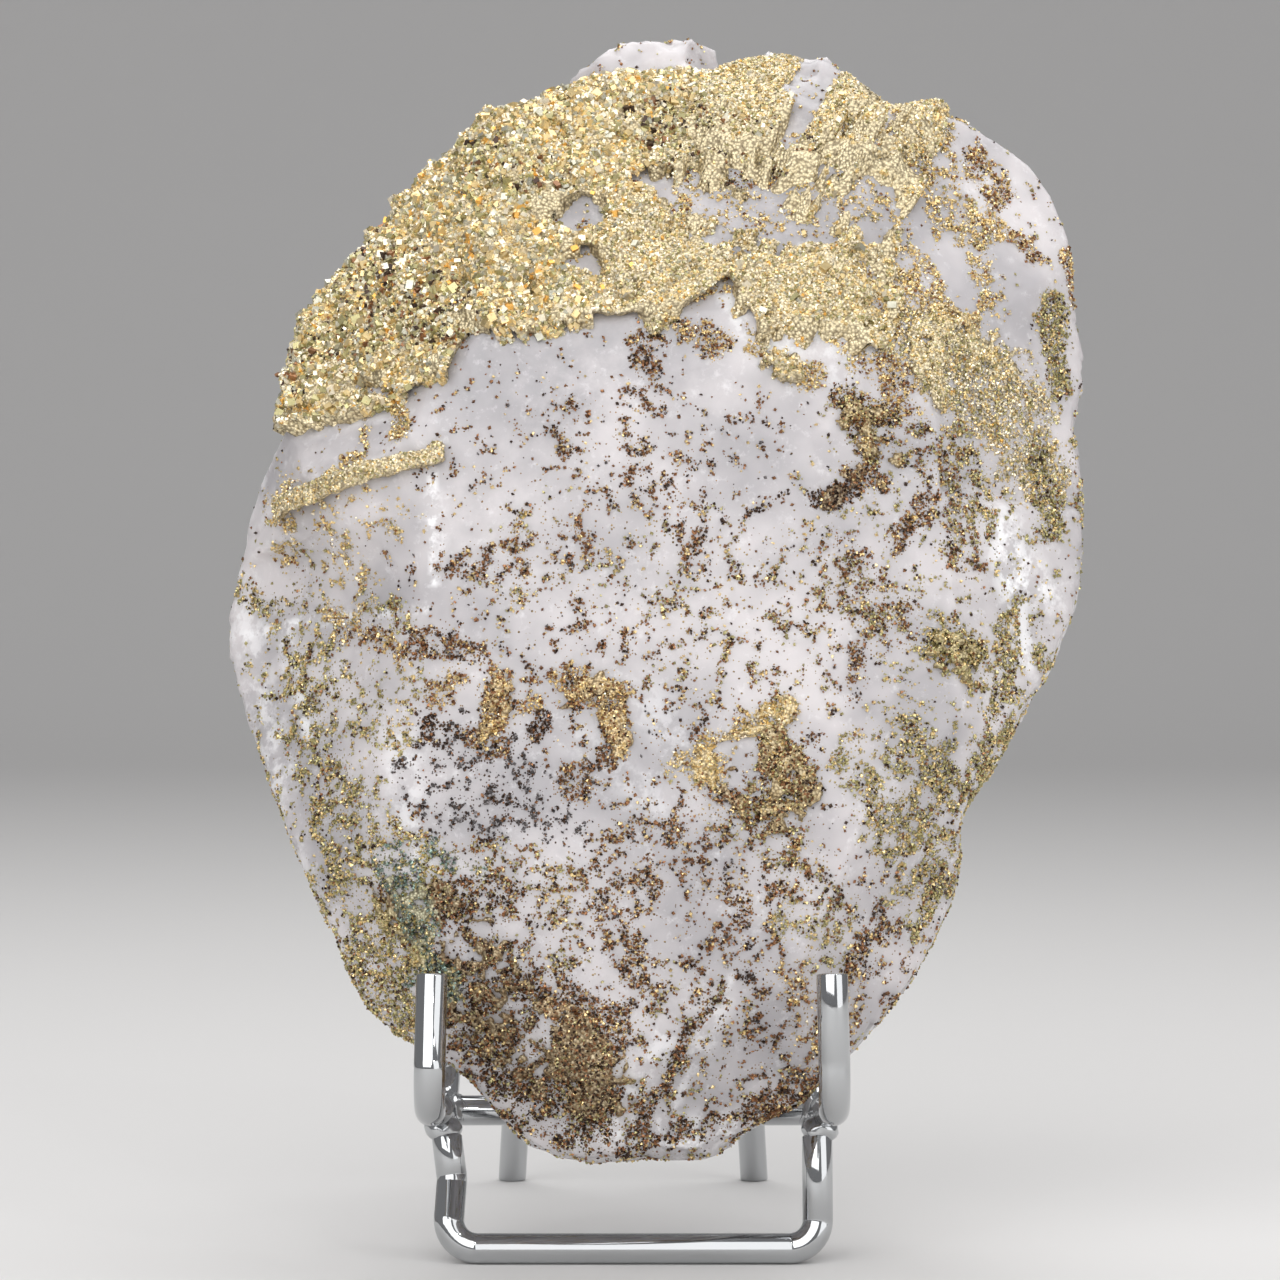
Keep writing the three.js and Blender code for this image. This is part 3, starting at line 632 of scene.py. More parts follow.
def calcite_finish(options):
    finish = Finish("calcite", Subsurface_Weight=0.75, Subsurface_Radius=(1.0, 0.93, 0.92),
                    Subsurface_Scale=2.4 * MM, IOR=1.6)
    clouds = finish.noise(13 * MM, 3, 0.6)
    wisps = finish.noise(2.4 * MM, 4, 0.7)
    grey = solid_colour(options.grey)
    base = finish.mix(finish.steps(clouds, (0.38, 0.0), (0.62, 0.8)), solid_colour(options.milk), grey)
    mottled = finish.steps(wisps, (0.35, 0.45), (0.6, 1.0))
    base = finish.mix(finish.attribute("grey") * mottled, base, grey)
    broken = finish.steps(wisps, (0.44, 0.05), (0.56, 1.0))
    # This attribute holds the white veils and fractures, and also a painted highlight along the calcite's
    # rim
    base = finish.mix(finish.attribute("veil") * broken, base, solid_colour(options.white))
    frost = finish.steps(finish.noise(1.6 * MM, 4, 0.75), (0.56, 0.0), (0.75, 0.4))
    base = finish.mix(frost, base, solid_colour(options.white))
    specks, heights = finish.specks(SPECK_SIZE, finish.attribute("cover"))
    dust, _ = finish.specks(DUST_SIZE, finish.attribute("dust"))
    metal = finish.node("ShaderNodeMath", {"operation": "MAXIMUM"}, {0: specks, 1: dust})
    tint = finish.attribute("tint", "Color")
    deep = finish.mix(0.65, tint, SPECK_GAP)
    tint = finish.mix(finish.steps(finish.noise(0.35 * MM, 2), (0.42, 0.0), (0.58, 1.0)), deep, tint)
    finish.put(
        Base_Color=finish.mix(metal, base, tint),
        Metallic=metal * 0.95,
        Roughness=0.3 + finish.noise(1.4 * MM, 2) * 0.25)
    grain = finish.noise(0.45 * MM, 2) * 0.3 + finish.noise(3 * MM, 3)
    finish.bump(grain * 0.4 + heights * 1.2, 0.12 * MM, 0.6)
    return finish.material


def pyrite_finish(name, roughness, metallic=0.9):
    finish = Finish(name, Metallic=metallic)
    tone = finish.attribute("tone", "Color")
    spots = finish.noise(0.9 * MM, 2)
    deep = finish.mix(0.5, tone, GRAIN_GAP)
    finish.put(
        Base_Color=finish.mix(finish.steps(spots, (0.45, 0.0), (0.7, 1.0)) * 0.5, tone, deep),
        Roughness=roughness + finish.noise(0.3 * MM, 2) * 0.22)
    return finish.material


def bed_finish(name):
    """The pyrite between the grains that stand out: the same metal, sandy, in the tone of its place, with
    painted shade between its sand grains.
    """
    finish = Finish(name, Metallic=0.8)
    gap, luck = finish.cells(SAND_SIZE)
    tint = finish.attribute("tint", "Color")
    tone = finish.mix(luck * 0.75, tint, finish.mix(0.6, tint, BRIGHT_SAND))
    # Painted shade: the sand goes darker towards the edges of its cells, between the grains
    deep = finish.mix(0.75, tint, BED_GAP_SHADE)
    finish.put(
        Base_Color=finish.mix(finish.steps(gap, (0.35, 0.0), (0.75, 0.9)), tone, deep),
        Roughness=0.36 + finish.noise(0.3 * MM, 2) * 0.2)
    finish.bump(1.0 - gap, 0.16 * MM, 0.9)
    return finish.material


def chrome_finish(name, roughness):
    finish = Finish(name, Metallic=1.0, Base_Color=(0.5, 0.51, 0.52, 1.0))
    smears = finish.noise(3.5 * MM, 4)
    finish.put(Roughness=roughness + finish.steps(smears, (0.45, 0.0), (0.75, 1.0)) * 0.08)
    finish.bump(finish.noise(1.2 * MM, 3), 0.02 * MM, 0.25)
    return finish.material


# Noise and fields, worked out for many places at once


def speckle(cells, seed):
    """A number from 0 to 1 that belongs to each cell of a grid."""
    mixed = cells @ np.array((73856093, 19349663, 83492791)) + seed * 2654435761
    mixed = ((mixed ^ (mixed >> 13)) * 1274126177) & 0xFFFFFFFF
    mixed = ((mixed ^ (mixed >> 16)) * 2246822519) & 0xFFFFFFFF
    return (mixed & 0xFFFFFF) / 0xFFFFFF


def lumps(points, size, seed):
    """Smooth noise from 0 to 1 with lumps of about a size."""
    spots = points / size
    cells = np.floor(spots).astype(np.int64)
    share = spots - cells
    share = share * share * (3 - 2 * share)
    total = np.zeros(len(points))
    for corner in itertools.product((0, 1), repeat=3):
        weight = np.prod(np.where(corner, share, 1 - share), axis=1)
        total += weight * speckle(cells + np.array(corner), seed)
    return total


def rough(points, size, seed, octaves=3):
    """Noise from -1 to 1 with finer lumps on the larger ones."""
    total = sum(lumps(points, size / 2 ** step, seed + step) / 2 ** step for step in range(octaves))
    return 2 * total / (2 - 2 ** (1 - octaves)) - 1


def wander(points, size, seeds, octaves=3):
    """Noise in as many directions as there are seeds."""
    return np.stack([rough(points, size, seed, octaves) for seed in seeds], axis=1)


def ranked(values):
    """Each value's place among them all, from 0 to 1."""
    places = np.empty(len(values))
    places[np.argsort(values)] = np.linspace(0, 1, len(values))
    return places


def eased(value, low, high):
    share = np.clip((value - low) / (high - low), 0, 1)
    return share * share * (3 - 2 * share)


def front_view(points):
    """Where points stand in the camera's view, in mm right of and above its middle at the hooks."""
    away = points - np.array(CAMERA_PLACE)
    depth = away[:, 1] * math.cos(CAMERA_PITCH) - away[:, 2] * math.sin(CAMERA_PITCH)
    up = away[:, 1] * math.sin(CAMERA_PITCH) + away[:, 2] * math.cos(CAMERA_PITCH)
    scale = CAMERA_DISTANCE / depth / MM
    return np.stack((away[:, 0] * scale, up * scale), axis=1)


def frayed_view(points, size, seeds, reach):
    """The front view with its places moved about, so that marks get uneven edges."""
    return front_view(points) + wander(points / MM, size, seeds) * reach


def nearness(view, streak, softness):
    """1 inside a streak of the view, falling to 0 across its soft edge."""
    start, end, half = np.array(streak[0:2]), np.array(streak[2:4]), streak[4]
    run = end - start
    along = np.clip((view - start) @ run / max(run @ run, 1e-9), 0, 1)
    gap = np.linalg.norm(view - start - along[:, None] * run, axis=1)
    return 1 - eased(gap / half, 1 - softness, 1 + softness)


def highest(view, marks, softness):
    """The strongest of a list of marks at each place of the view."""
    level = np.zeros(len(view))
    for mark in marks:
        level = np.maximum(level, mark[5] * nearness(view, mark, softness))
    return level


def facing_camera(points, normals):
    """How squarely a surface looks to the camera."""
    away = np.array(CAMERA_PLACE) - points
    away /= np.linalg.norm(away, axis=1, keepdims=True)
    return (away * normals).sum(axis=1)


def away_from_middle(points):
    """The way from the middle of the stone to each place."""
    out = points - np.array(LEANING @ Vector(STONE_MIDDLE))
    return out / np.linalg.norm(out, axis=1, keepdims=True)


def to_leaning(points):
    """Places in the leaning frame, in mm."""
    back = np.array(LEANING.inverted())
    return (points @ back[:3, :3].T + back[:3, 3]) / MM


# Meshes


def surface_of(mesh):
    """The places of a mesh's corners, and the ways out of its surface there."""
    places = np.empty(len(mesh.vertices) * 3)
    normals = np.empty(len(mesh.vertices) * 3)
    mesh.vertices.foreach_get("co", places)
    mesh.vertex_normals.foreach_get("vector", normals)
    return places.reshape(-1, 3), normals.reshape(-1, 3)


def set_points(mesh, places):
    mesh.vertices.foreach_set("co", places.ravel())
    mesh.update()


def keep_values(mesh, name, values):
    """Keeps a number for each corner in an attribute."""
    mesh.attributes.new(name, "FLOAT", "POINT").data.foreach_set("value", values)


def keep_colours(mesh, name, colours):
    """Keeps a colour for each corner in an attribute."""
    whole = np.ones((len(colours), 4))
    whole[:, :3] = colours
    mesh.attributes.new(name, "FLOAT_COLOR", "POINT").data.foreach_set("color", whole.ravel())


def mesh_from(shape, name):
    mesh = bpy.data.meshes.new(name)
    shape.to_mesh(mesh)
    shape.free()
    return mesh


def add_object(name, data):
    made = bpy.data.objects.new(name, data)
    bpy.context.scene.collection.objects.link(made)
    return made


def picked(chosen, *rows):
    """The chosen items of each of several rows."""
    return [row[chosen] for row in rows]


def copy_of(node):
    """A copy of a solid's mesh with its loose triangles joined."""
    shape = bmesh.new()
    shape.from_mesh(frame["nodes"][node].data)
    bmesh.ops.remove_doubles(shape, verts=shape.verts, dist=MERGE_DISTANCE)
    return mesh_from(shape, node + " copy")


def add_piece(name, mesh, material, slot, *replaced):
    piece = add_object(name, mesh)
    mesh.materials.clear()
    mesh.materials.append(material)
    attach(piece, "root")
    if replaced:
        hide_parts(*replaced)


def even_skin(mesh, cell):
    """The mesh made again of even small faces."""
    holder = add_object("holder", mesh)
    remesh = holder.modifiers.new("even skin", "REMESH")
    remesh.mode = "VOXEL"
    remesh.voxel_size = cell
    graph = bpy.context.evaluated_depsgraph_get()
    skin = bpy.data.meshes.new_from_object(holder.evaluated_get(graph))
    bpy.data.objects.remove(holder)
    skin.shade_smooth()
    return skin


def smooth_mesh(mesh, rounds, chosen=None):
    """Smooths all of a mesh, or only its chosen corners."""
    shape = bmesh.new()
    shape.from_mesh(mesh)
    corners = shape.verts[:] if chosen is None else list(itertools.compress(shape.verts, chosen))
    for _ in range(rounds):
        bmesh.ops.smooth_vert(shape, verts=corners, factor=0.5, use_axis_x=True, use_axis_y=True,
                              use_axis_z=True)
    shape.to_mesh(mesh)
    shape.free()
    mesh.update()


def grain_shape(kind):
    """Corners and triangles of a crystal about 1 across."""
    shape = bmesh.new()
    if kind == "cube":
        bmesh.ops.create_cube(shape, size=1.0)
    else:
        for reach, axis in itertools.product((-OCTAHEDRON_REACH, OCTAHEDRON_REACH), range(3)):
            corner = [0.0, 0.0, 0.0]
            corner[axis] = reach
            shape.verts.new(corner)
        bmesh.ops.convex_hull(shape, input=shape.verts)
    bmesh.ops.triangulate(shape, faces=shape.faces)
    shape.verts.index_update()
    corners = np.array([corner.co[:] for corner in shape.verts])
    triangles = np.array([[corner.index for corner in face.verts] for face in shape.faces])
    shape.free()
    return corners, triangles


def sprinkle(mesh, per_mm2, random):
    """Random places on a mesh, so many to a square mm, and the way out of the surface there."""
    mesh.calc_loop_triangles()
    picks = np.empty(len(mesh.loop_triangles) * 3, dtype=np.int32)
    mesh.loop_triangles.foreach_get("vertices", picks)
    picks = picks.reshape(-1, 3)
    points, ways_out = surface_of(mesh)
    corners = points[picks]
    ways = np.cross(corners[:, 1] - corners[:, 0], corners[:, 2] - corners[:, 0])
    areas = np.linalg.norm(ways, axis=1) / 2
    reach = np.cumsum(areas)
    count = int(per_mm2 * reach[-1] / MM**2)
    chosen = np.searchsorted(reach, random.random(count) * reach[-1])
    first, second = random.random((2, count, 1))
    over = first + second > 1
    first, second = np.where(over, 1 - first, first), np.where(over, 1 - second, second)
    base = corners[chosen]
    places = base[:, 0] + first * (base[:, 1] - base[:, 0]) + second * (base[:, 2] - base[:, 0])
    normals = ways_out[picks[chosen]].mean(axis=1)
    normals /= np.linalg.norm(normals, axis=1, keepdims=True)
    return places, normals


def sprinkle_outside(mesh, per_mm2, random):
    """Random places on the sides of a mesh that look away from the middle of the stone."""
    places, normals = sprinkle(mesh, per_mm2, random)
    kept = (away_from_middle(places) * normals).sum(axis=1) > LEAST_OUTWARD
    return places[kept], normals[kept]


def random_turns(count, random):
    """Rotation matrices, one for each crystal."""
    turns = random.normal(size=(4, count))
    w, x, y, z = turns / np.linalg.norm(turns, axis=0)
    rows = [
        [1 - 2 * (y * y + z * z), 2 * (x * y - z * w), 2 * (x * z + y * w)],
        [2 * (x * y + z * w), 1 - 2 * (x * x + z * z), 2 * (y * z - x * w)],
        [2 * (x * z - y * w), 2 * (y * z + x * w), 1 - 2 * (x * x + y * y)],
    ]
    return np.array(rows).transpose(2, 0, 1)


def grain_mesh(name, kind, places, sizes, tones, random):
    """One mesh of many crystals, each turned its own way, with its colour in an attribute."""
    corners, triangles = grain_shape(kind)
    shaped = corners[None] * random.uniform(*STRETCH, (len(places), 1, 3))
    turned = np.einsum("nij,nkj->nki", random_turns(len(places), random), shaped)
    points = turned * sizes[:, None, None] + places[:, None]
    faces = triangles[None] + len(corners) * np.arange(len(places))[:, None, None]
    mesh = bpy.data.meshes.new(name)
    mesh.vertices.add(points.size // 3)
    mesh.vertices.foreach_set("co", points.ravel())
    mesh.loops.add(faces.size)
    mesh.loops.foreach_set("vertex_index", faces.ravel())
    mesh.polygons.add(faces.size // 3)
    mesh.polygons.foreach_set("loop_start", np.arange(0, faces.size, 3))
    mesh.update(calc_edges=True)
    mesh.shade_flat()
    keep_colours(mesh, "tone", np.repeat(tones, len(corners), axis=0))
    return mesh


def tones_of(mixtures, options, random):
    """A colour for each grain, drawn from its mixture and made a little lighter or darker."""
    tones = np.zeros((len(mixtures), 3))
    luck = random.random(len(mixtures))
    for name, shares in MIXTURES.items():
        chosen = mixtures == name
        floor = 0.0
        for colour, share in shares.items():
            drawn = chosen & (luck >= floor)
            tones[drawn] = tuple(getattr(options, colour))
            floor += share
    return tones * random.uniform(*TONE_SPREAD, (len(mixtures), 1))


def add_tint(mesh, mixtures, options):
    """Keeps the mean colour of each corner's mixture in an attribute."""
    tints = np.ones((len(mixtures), 3))
    for name, shares in MIXTURES.items():
        parts = [share * np.array(getattr(options, colour)) for colour, share in shares.items()]
        tints[mixtures == name] = sum(parts)
    keep_colours(mesh, "tint", tints)


def add_grains(name, kind, places, normals, sizes, mixtures, sink, material, options, random):
    """Crystals set into a surface, in as many pieces as their triangles need."""
    tones = tones_of(mixtures, options, random)
    centres = places + normals * (sizes * sink)[:, None]
    per_piece = MOST_TRIANGLES // len(grain_shape(kind)[1])
    for part, start in enumerate(range(0, len(places), per_piece)):
        chosen = slice(start, start + per_piece)
        label = name if len(places) <= per_piece else f"{name}_{part + 1}"
        mesh = grain_mesh(label, kind, centres[chosen], sizes[chosen], tones[chosen], random)
        add_piece(label, mesh, material, "pyrite")


# The stone


def build_calcite(options):
    mesh = even_skin(copy_of("calcite"), options.cell)
    smooth_mesh(mesh, CALCITE_SMOOTHING)
    places, normals = surface_of(mesh)
    marked = highest(front_view(places), SMOOTH, 0.3) * (to_leaning(places)[:, 1] < SMOOTH_DEPTH)
    smooth_mesh(mesh, MARKED_SMOOTHING, marked > 0.5)
    places, normals = surface_of(mesh)
    crest = highest(front_view(places), CRESTS, 0.6) * (0.7 + 0.6 * rough(places / MM, 2.0, 9))
    places[:, 2] += crest * MM
    leaning = to_leaning(places)
    mm = places / MM
    facing = facing_camera(places, normals)
    aside = 1 - eased(facing, 0.55, 0.85)
    drift = rough(mm, 9, 3)
    climb = leaning @ np.array(CLEAVAGE) / CLEAVAGE_SPACING + 0.9 * rough(mm, 14, 5)
    crossing = leaning @ np.array(CROSS_CLEAVAGE) / CROSS_SPACING + 0.8 * rough(mm, 12, 6)
    steps = (climb % 1 + 0.6 * (crossing % 1)) * eased(rough(mm, 16, 8), -0.5, 0.3)
    shift = -options.inset - options.terrace * aside * steps * 0.6
    shift += MM * (0.22 * drift * (0.25 + aside) + 0.05 * rough(mm, 1.6, 4) * (0.5 + aside))
    set_points(mesh, places + normals * shift[:, None])
    view = frayed_view(places, 3, (21, 27), 0.5)
    front = eased(facing, 0.0, 0.25)
    # Painted highlight: a white rim where the calcite turns away from the camera, kept with the veils
    rim_highlight = 0.45 * (1 - eased(facing, 0.1, 0.5)) * eased(rough(mm, 6, 33), -0.3, 0.4)
    keep_values(mesh, "veil", np.maximum(highest(view, VEILS, VEIL_SOFTNESS) * front, rim_highlight))
    keep_values(mesh, "grey", highest(view, GREYS, GREY_SOFTNESS) * front)
    add_piece("calcite_crystal", mesh, calcite_finish(options), "calcite", "calcite")


def build_crust(options):
    random = np.random.default_rng(options.seed)
    mesh = even_skin(copy_of("pyrite_crust"), options.cell)
    smooth_mesh(mesh, CRUST_SMOOTHING)
    places, normals = surface_of(mesh)
    mm = places / MM
    drift = wander(mm, 3.4, (41, 42, 43), 4)
    out = away_from_middle(places)
    shift = MM * (0.25 * rough(mm, 2.4, 44) + 0.5 * rough(mm, 5.5, 49, 2) - 0.2)
    sunk = CRUST_DEPTH + BARE_DEPTH * bareness(places)
    set_points(mesh, places + normals * shift[:, None] + (drift - sunk[:, None] * out) * MM)
    add_tint(mesh, np.full(len(places), "sand"), options)
    add_piece("pyrite_crust_bed", mesh, bed_finish("pyrite crust bed"), "pyrite", "pyrite_crust")
    facets = pyrite_finish("pyrite crystals", 0.2, 0.72)
    sand = pyrite_finish("pyrite sand", 0.26, 0.78)
    places, normals = sprinkle_outside(mesh, SAND_DENSITY, random)
    coarse = coarseness(places)
    kept = (random.random(len(places)) > 0.6 * coarse) & (bareness(places) < BARE_LIMIT)
    places, normals, coarse = picked(kept, places, normals, coarse)
    sizes = options.fine * random.uniform(*SAND_SPREAD, len(places)) * (1 + 0.3 * coarse)
    mixtures = with_dusk(places, "sand", random)
    add_grains("crust_sand", "octahedron", places, normals, sizes, mixtures, GRAIN_STAND, sand,
               options, random)
    places, normals = sprinkle_outside(mesh, CRYSTAL_DENSITY, random)
    crystal_share = 0.05 + 0.85 * coarseness(places)
    kept = (random.random(len(places)) < crystal_share) & (bareness(places) < BARE_LIMIT)
    places, normals = picked(kept, places, normals)
    sizes = options.coarse * (0.6 + 0.8 * random.random(len(places)) ** 5)
    mixtures = with_dusk(places, "facets", random)
    add_grains("crust_crystals", "cube", places, normals, sizes, mixtures, CRYSTAL_STAND, facets,
               options, random)


def with_dusk(points, usual, random):
    """The usual mixture for each place of the crust, and a darker one, partly painted shade, for many in the
    dusky places.
    """
    dusk = highest(front_view(points), DUSKY, DUSKY_SOFTNESS)
    return np.where(random.random(len(points)) < dusk, "shade", usual)


def bareness(points):
    """1 where the crust is missing, by the bare places and the web that they fray into, else 0."""
    bare = highest(frayed_view(points, 2.2, (46, 47), 0.8), HOLLOW + BARE, BARE_SOFTNESS)
    return eased(bare - ranked(rough(points / MM, 1.5, 48, 2)), -0.16, 0.16)


def coarseness(points):
    """1 where the crust has coarse crystals, 0 where it is sandy."""
    leaning = to_leaning(points)
    return eased(0.4 * (leaning[:, 2] - 95) - leaning[:, 0] + 5 * rough(points / MM, 7, 45), -4, 4)


def build_clusters(options):
    random = np.random.default_rng(options.seed + 1)
    finish = pyrite_finish("pyrite clusters", 0.22)
    bed = bed_finish("pyrite cluster bed")
    inward = np.array(LEANING.to_3x3() @ Vector((0, 1, 0)))
    for node in [f"pyrite_patch_{patch}" for patch in PATCHES] + ["pyrite_ridge", "pyrite_band"]:
        mesh = even_skin(copy_of(node), CLUSTER_CELL)
        smooth_mesh(mesh, CLUSTER_SMOOTHING)
        places, normals = surface_of(mesh)
        mm = places / MM
        drift = wander(mm, 1.6, (51, 52, 53)) * 0.5
        strength, mixtures, web = strewn(places, normals)
        bare = eased(1 - web - strength, -0.2, 0.1)
        sunk = CLUSTER_DEPTH + CLUSTER_BARE_DEPTH * bare + 0.2 * rough(mm, 0.9, 55)
        if node == "pyrite_ridge":
            sunk[:] = RIDGE_DEPTH
            mixtures[:] = "sand"
        add_tint(mesh, mixtures, options)
        set_points(mesh, places + drift * MM + inward * (sunk * MM)[:, None] - normals * 0.15 * MM)
        add_piece(node + "_bed", mesh, bed, "pyrite", node)
        places, normals = sprinkle_outside(mesh, CLUSTER_DENSITY, random)
        strength, mixtures, web = strewn(places, normals)
        if node == "pyrite_ridge":
            mixtures[:] = "sand"
        else:
            places, normals, mixtures = picked(strength + web > 0.9, places, normals, mixtures)
        sizes = options.loose * random.uniform(*CLUSTER_SPREAD, len(places))
        add_grains(node + "_grains", "octahedron", places, normals, sizes, mixtures, GRAIN_STAND, finish,
                   options, random)


def strewn(points, normals):
    """How closely loose grains cover places on the stone, their mixture, and the web they form."""
    mm = points / MM
    facing = facing_camera(points, normals)
    view = frayed_view(points, 2.6, (61, 67), 0.9)
    strength = np.zeros(len(points))
    mixtures = np.full(len(points), "brown", dtype="<U8")
    for streak in STREAKS + FIELDS:
        here = streak[5] * nearness(view, streak, STREAK_SOFTNESS)
        better = here > strength
        strength[better] = here[better]
        mixtures[better] = streak[6]
    front = eased(facing, 0.02, 0.12)
    behind = 0.3 * eased(rough(mm, 15, 71), 0.1, 0.5)
    strength = strength * front + behind * (1 - front)
    strength *= 1 - np.minimum(highest(view, BARE, CLEAN_SOFTNESS), 1) ** 2
    mixtures[front < 0.5] = "olive"
    threads = 1 - 2.2 * np.abs(rough(mm, 2.0, 76, 2))
    web = ranked(0.45 * threads + 0.55 * rough(mm, 0.8, 72, 2))
    return strength, mixtures, web


def covered(points, normals):
    """Whether places lie inside the pyrite beds, where no grain would show."""
    hidden = np.zeros(len(points), dtype=bool)
    for bed in [piece for piece in bpy.data.objects if piece.name.endswith("_bed")]:
        tree = BVHTree.FromObject(bed, bpy.context.evaluated_depsgraph_get())
        corners, _ = surface_of(bed.data)
        low, high = corners.min(axis=0) - BED_REACH, corners.max(axis=0) + BED_REACH
        near = ((points > low) & (points < high)).all(axis=1)
        for index in np.flatnonzero(near & ~hidden).tolist():
            normal = Vector(normals[index])
            _, way, _, _ = tree.ray_cast(Vector(points[index]), normal, BED_REACH)
            hidden[index] = way is not None and way.dot(normal) > 0
    return hidden


def build_loose_grains(options):
    random = np.random.default_rng(options.seed + 2)
    surface = bpy.data.objects["calcite_crystal"].data
    strength, mixtures, web = strewn(*surface_of(surface))
    add_tint(surface, mixtures, options)
    keep_values(surface, "cover", 0.75 * eased(strength + web - 1, -0.1, 0.2) + 0.12 * strength)
    keep_values(surface, "dust", 0.22 * strength)
    places, normals = sprinkle(surface, LOOSE_DENSITY, random)
    strength, mixtures, web = strewn(places, normals)
    blur = 0.09 * random.normal(size=len(places))
    kept = (strength + web + blur > 1) | (random.random(len(places)) < 0.003 + 0.08 * strength)
    places, normals, strength, mixtures = picked(kept, places, normals, strength, mixtures)
    open_air = ~covered(places, normals)
    places, normals, strength, mixtures = picked(open_air, places, normals, strength, mixtures)
    sizes = options.loose * random.uniform(*LOOSE_SPREAD, len(places))
    pile = 0.1 + 0.6 * strength * random.random(len(places))
    finish = pyrite_finish("pyrite grains", 0.22)
    add_grains("loose_grains", "octahedron", places, normals, sizes, mixtures, pile, finish,
               options, random)


# The stand


def wire_shape(corners, bend, options):
    """A round wire along straight stretches, with round bends between them."""
    corners = [Vector(corner) for corner in corners]
    shape = bmesh.new()
    heading = (corners[1] - corners[0]).normalized()
    turn = heading.to_track_quat("Z", "Y").to_matrix().to_4x4()
    bmesh.ops.create_circle(shape, cap_ends=True, radius=WIRE_RADIUS, segments=options.sides,
                            matrix=Matrix.Translation(corners[0]) @ turn)
    end = shape.faces[:][0]
    place = corners[0]
    for corner, after in zip(corners[1:], corners[2:] + [None]):
        if after is None:
            end = pull(shape, end, corner - place)
            break
        onward = (after - corner).normalized()
        angle = heading.angle(onward)
        setback = bend * math.tan(angle / 2)
        start = corner - heading * setback
        end = pull(shape, end, start - place)
        inside = (onward - heading * heading.dot(onward)).normalized()
        spun = bmesh.ops.spin(shape, geom=[end], cent=start + inside * bend, axis=heading.cross(onward),
                              angle=angle, steps=options.bend_steps)
        end = next(part for part in spun["geom_last"] if isinstance(part, bmesh.types.BMFace))
        place = corner + onward * setback
        heading = onward
    return shape


def pull(shape, face, offset):
    """Draws a face out along an offset and gives the new end face."""
    drawn = bmesh.ops.extrude_face_region(shape, geom=[face])["geom"]
    ends = [part for part in drawn if isinstance(part, bmesh.types.BMVert)]
    bmesh.ops.translate(shape, verts=ends, vec=offset)
    return next(part for part in drawn if isinstance(part, bmesh.types.BMFace))


def add_wire(name, shape, placing, material, *replaced):
    bmesh.ops.transform(shape, matrix=placing, verts=shape.verts)
    rims = [edge for edge in shape.edges if any(len(face.verts) > 4 for face in edge.link_faces)]
    bmesh.ops.bevel(shape, geom=rims, offset=TIP_ROUNDING, affect="EDGES", segments=3, profile=0.5,
                    material=-1)
    bmesh.ops.recalc_face_normals(shape, faces=shape.faces)
    mesh = mesh_from(shape, name)
    mesh.shade_smooth()
    add_piece(name, mesh, material, "chromed_wire", *replaced)


def build_stand(options):
    chrome = chrome_finish("chrome", 0.05)
    arm = ARM_SPACING / 2
    hook = arm - HOOK_TOE_IN
    top = BACK_LOOP_TOP_WIDTH / 2
    right = [(hook, 0, HOOK_HEIGHT), (arm, 0, 0), (arm, ARM_LENGTH, 0), (top, ARM_LENGTH, BACK_LOOP_HEIGHT)]
    cradle = [(-x, y, z) for x, y, z in right] + right[::-1]
    add_wire("cradle", wire_shape(cradle, CRADLE_BEND, options), LEANING, chrome, "cradle_wire")
    half = arm - WIRE_RADIUS
    bar = [(-half, CROSS_BAR_SETBACK, 0), (half, CROSS_BAR_SETBACK, 0)]
    add_wire("cradle_cross_bar", wire_shape(bar, 0, options), LEANING, chrome, "cross_bar")
    side = BASE_LOOP_WIDTH / 2
    rise = BASE_LOOP_HEIGHT - WIRE_RADIUS
    kinked_leg = [(-side - 0.1 * MM, 0, rise), (-side + 0.5 * MM, 0, 0.62 * rise)]
    base = [*kinked_leg, (-side, 0, 0), (side, 0, 0), (side, 0, rise)]
    placing = Matrix.Translation((MIDDLE_X, HOOK_PLANE_Y + BASE_LOOP_SETBACK, WIRE_RADIUS))
    placing = placing @ Matrix.Rotation(-BASE_LOOP_TILT, 4, "X")
    add_wire("base_loop_wire", wire_shape(base, BASE_BEND, options), placing, chrome, "base_loop")
    weld = LEANING @ Vector((0, ARM_LENGTH + 2 * WIRE_RADIUS + GAP, BACK_LOOP_HEIGHT))
    foot = REAR_FOOT_SPACING / 2
    heel = HOOK_PLANE_Y + REAR_FOOT_SETBACK
    below = -4 * WIRE_RADIUS
    knee = REAR_LEG_TOP_WIDTH / 2
    rear = [(MIDDLE_X - foot, heel, below), (MIDDLE_X - knee, weld.y, weld.z),
            (MIDDLE_X + knee, weld.y, weld.z), (MIDDLE_X + foot, heel, below)]
    shape = wire_shape(rear, REAR_BEND, options)
    whole = shape.verts[:] + shape.edges[:] + shape.faces[:]
    cut = bmesh.ops.bisect_plane(shape, geom=whole, plane_co=(0, 0, 0), plane_no=(0, 0, -1),
                                 clear_outer=True)
    soles = [part for part in cut["geom_cut"] if isinstance(part, bmesh.types.BMEdge)]
    bmesh.ops.contextual_create(shape, geom=soles)
    add_wire("rear_leg_wire", shape, Matrix.Identity(4), chrome, "rear_leg")
    build_solder(options, chrome_finish("solder", 0.16), weld)


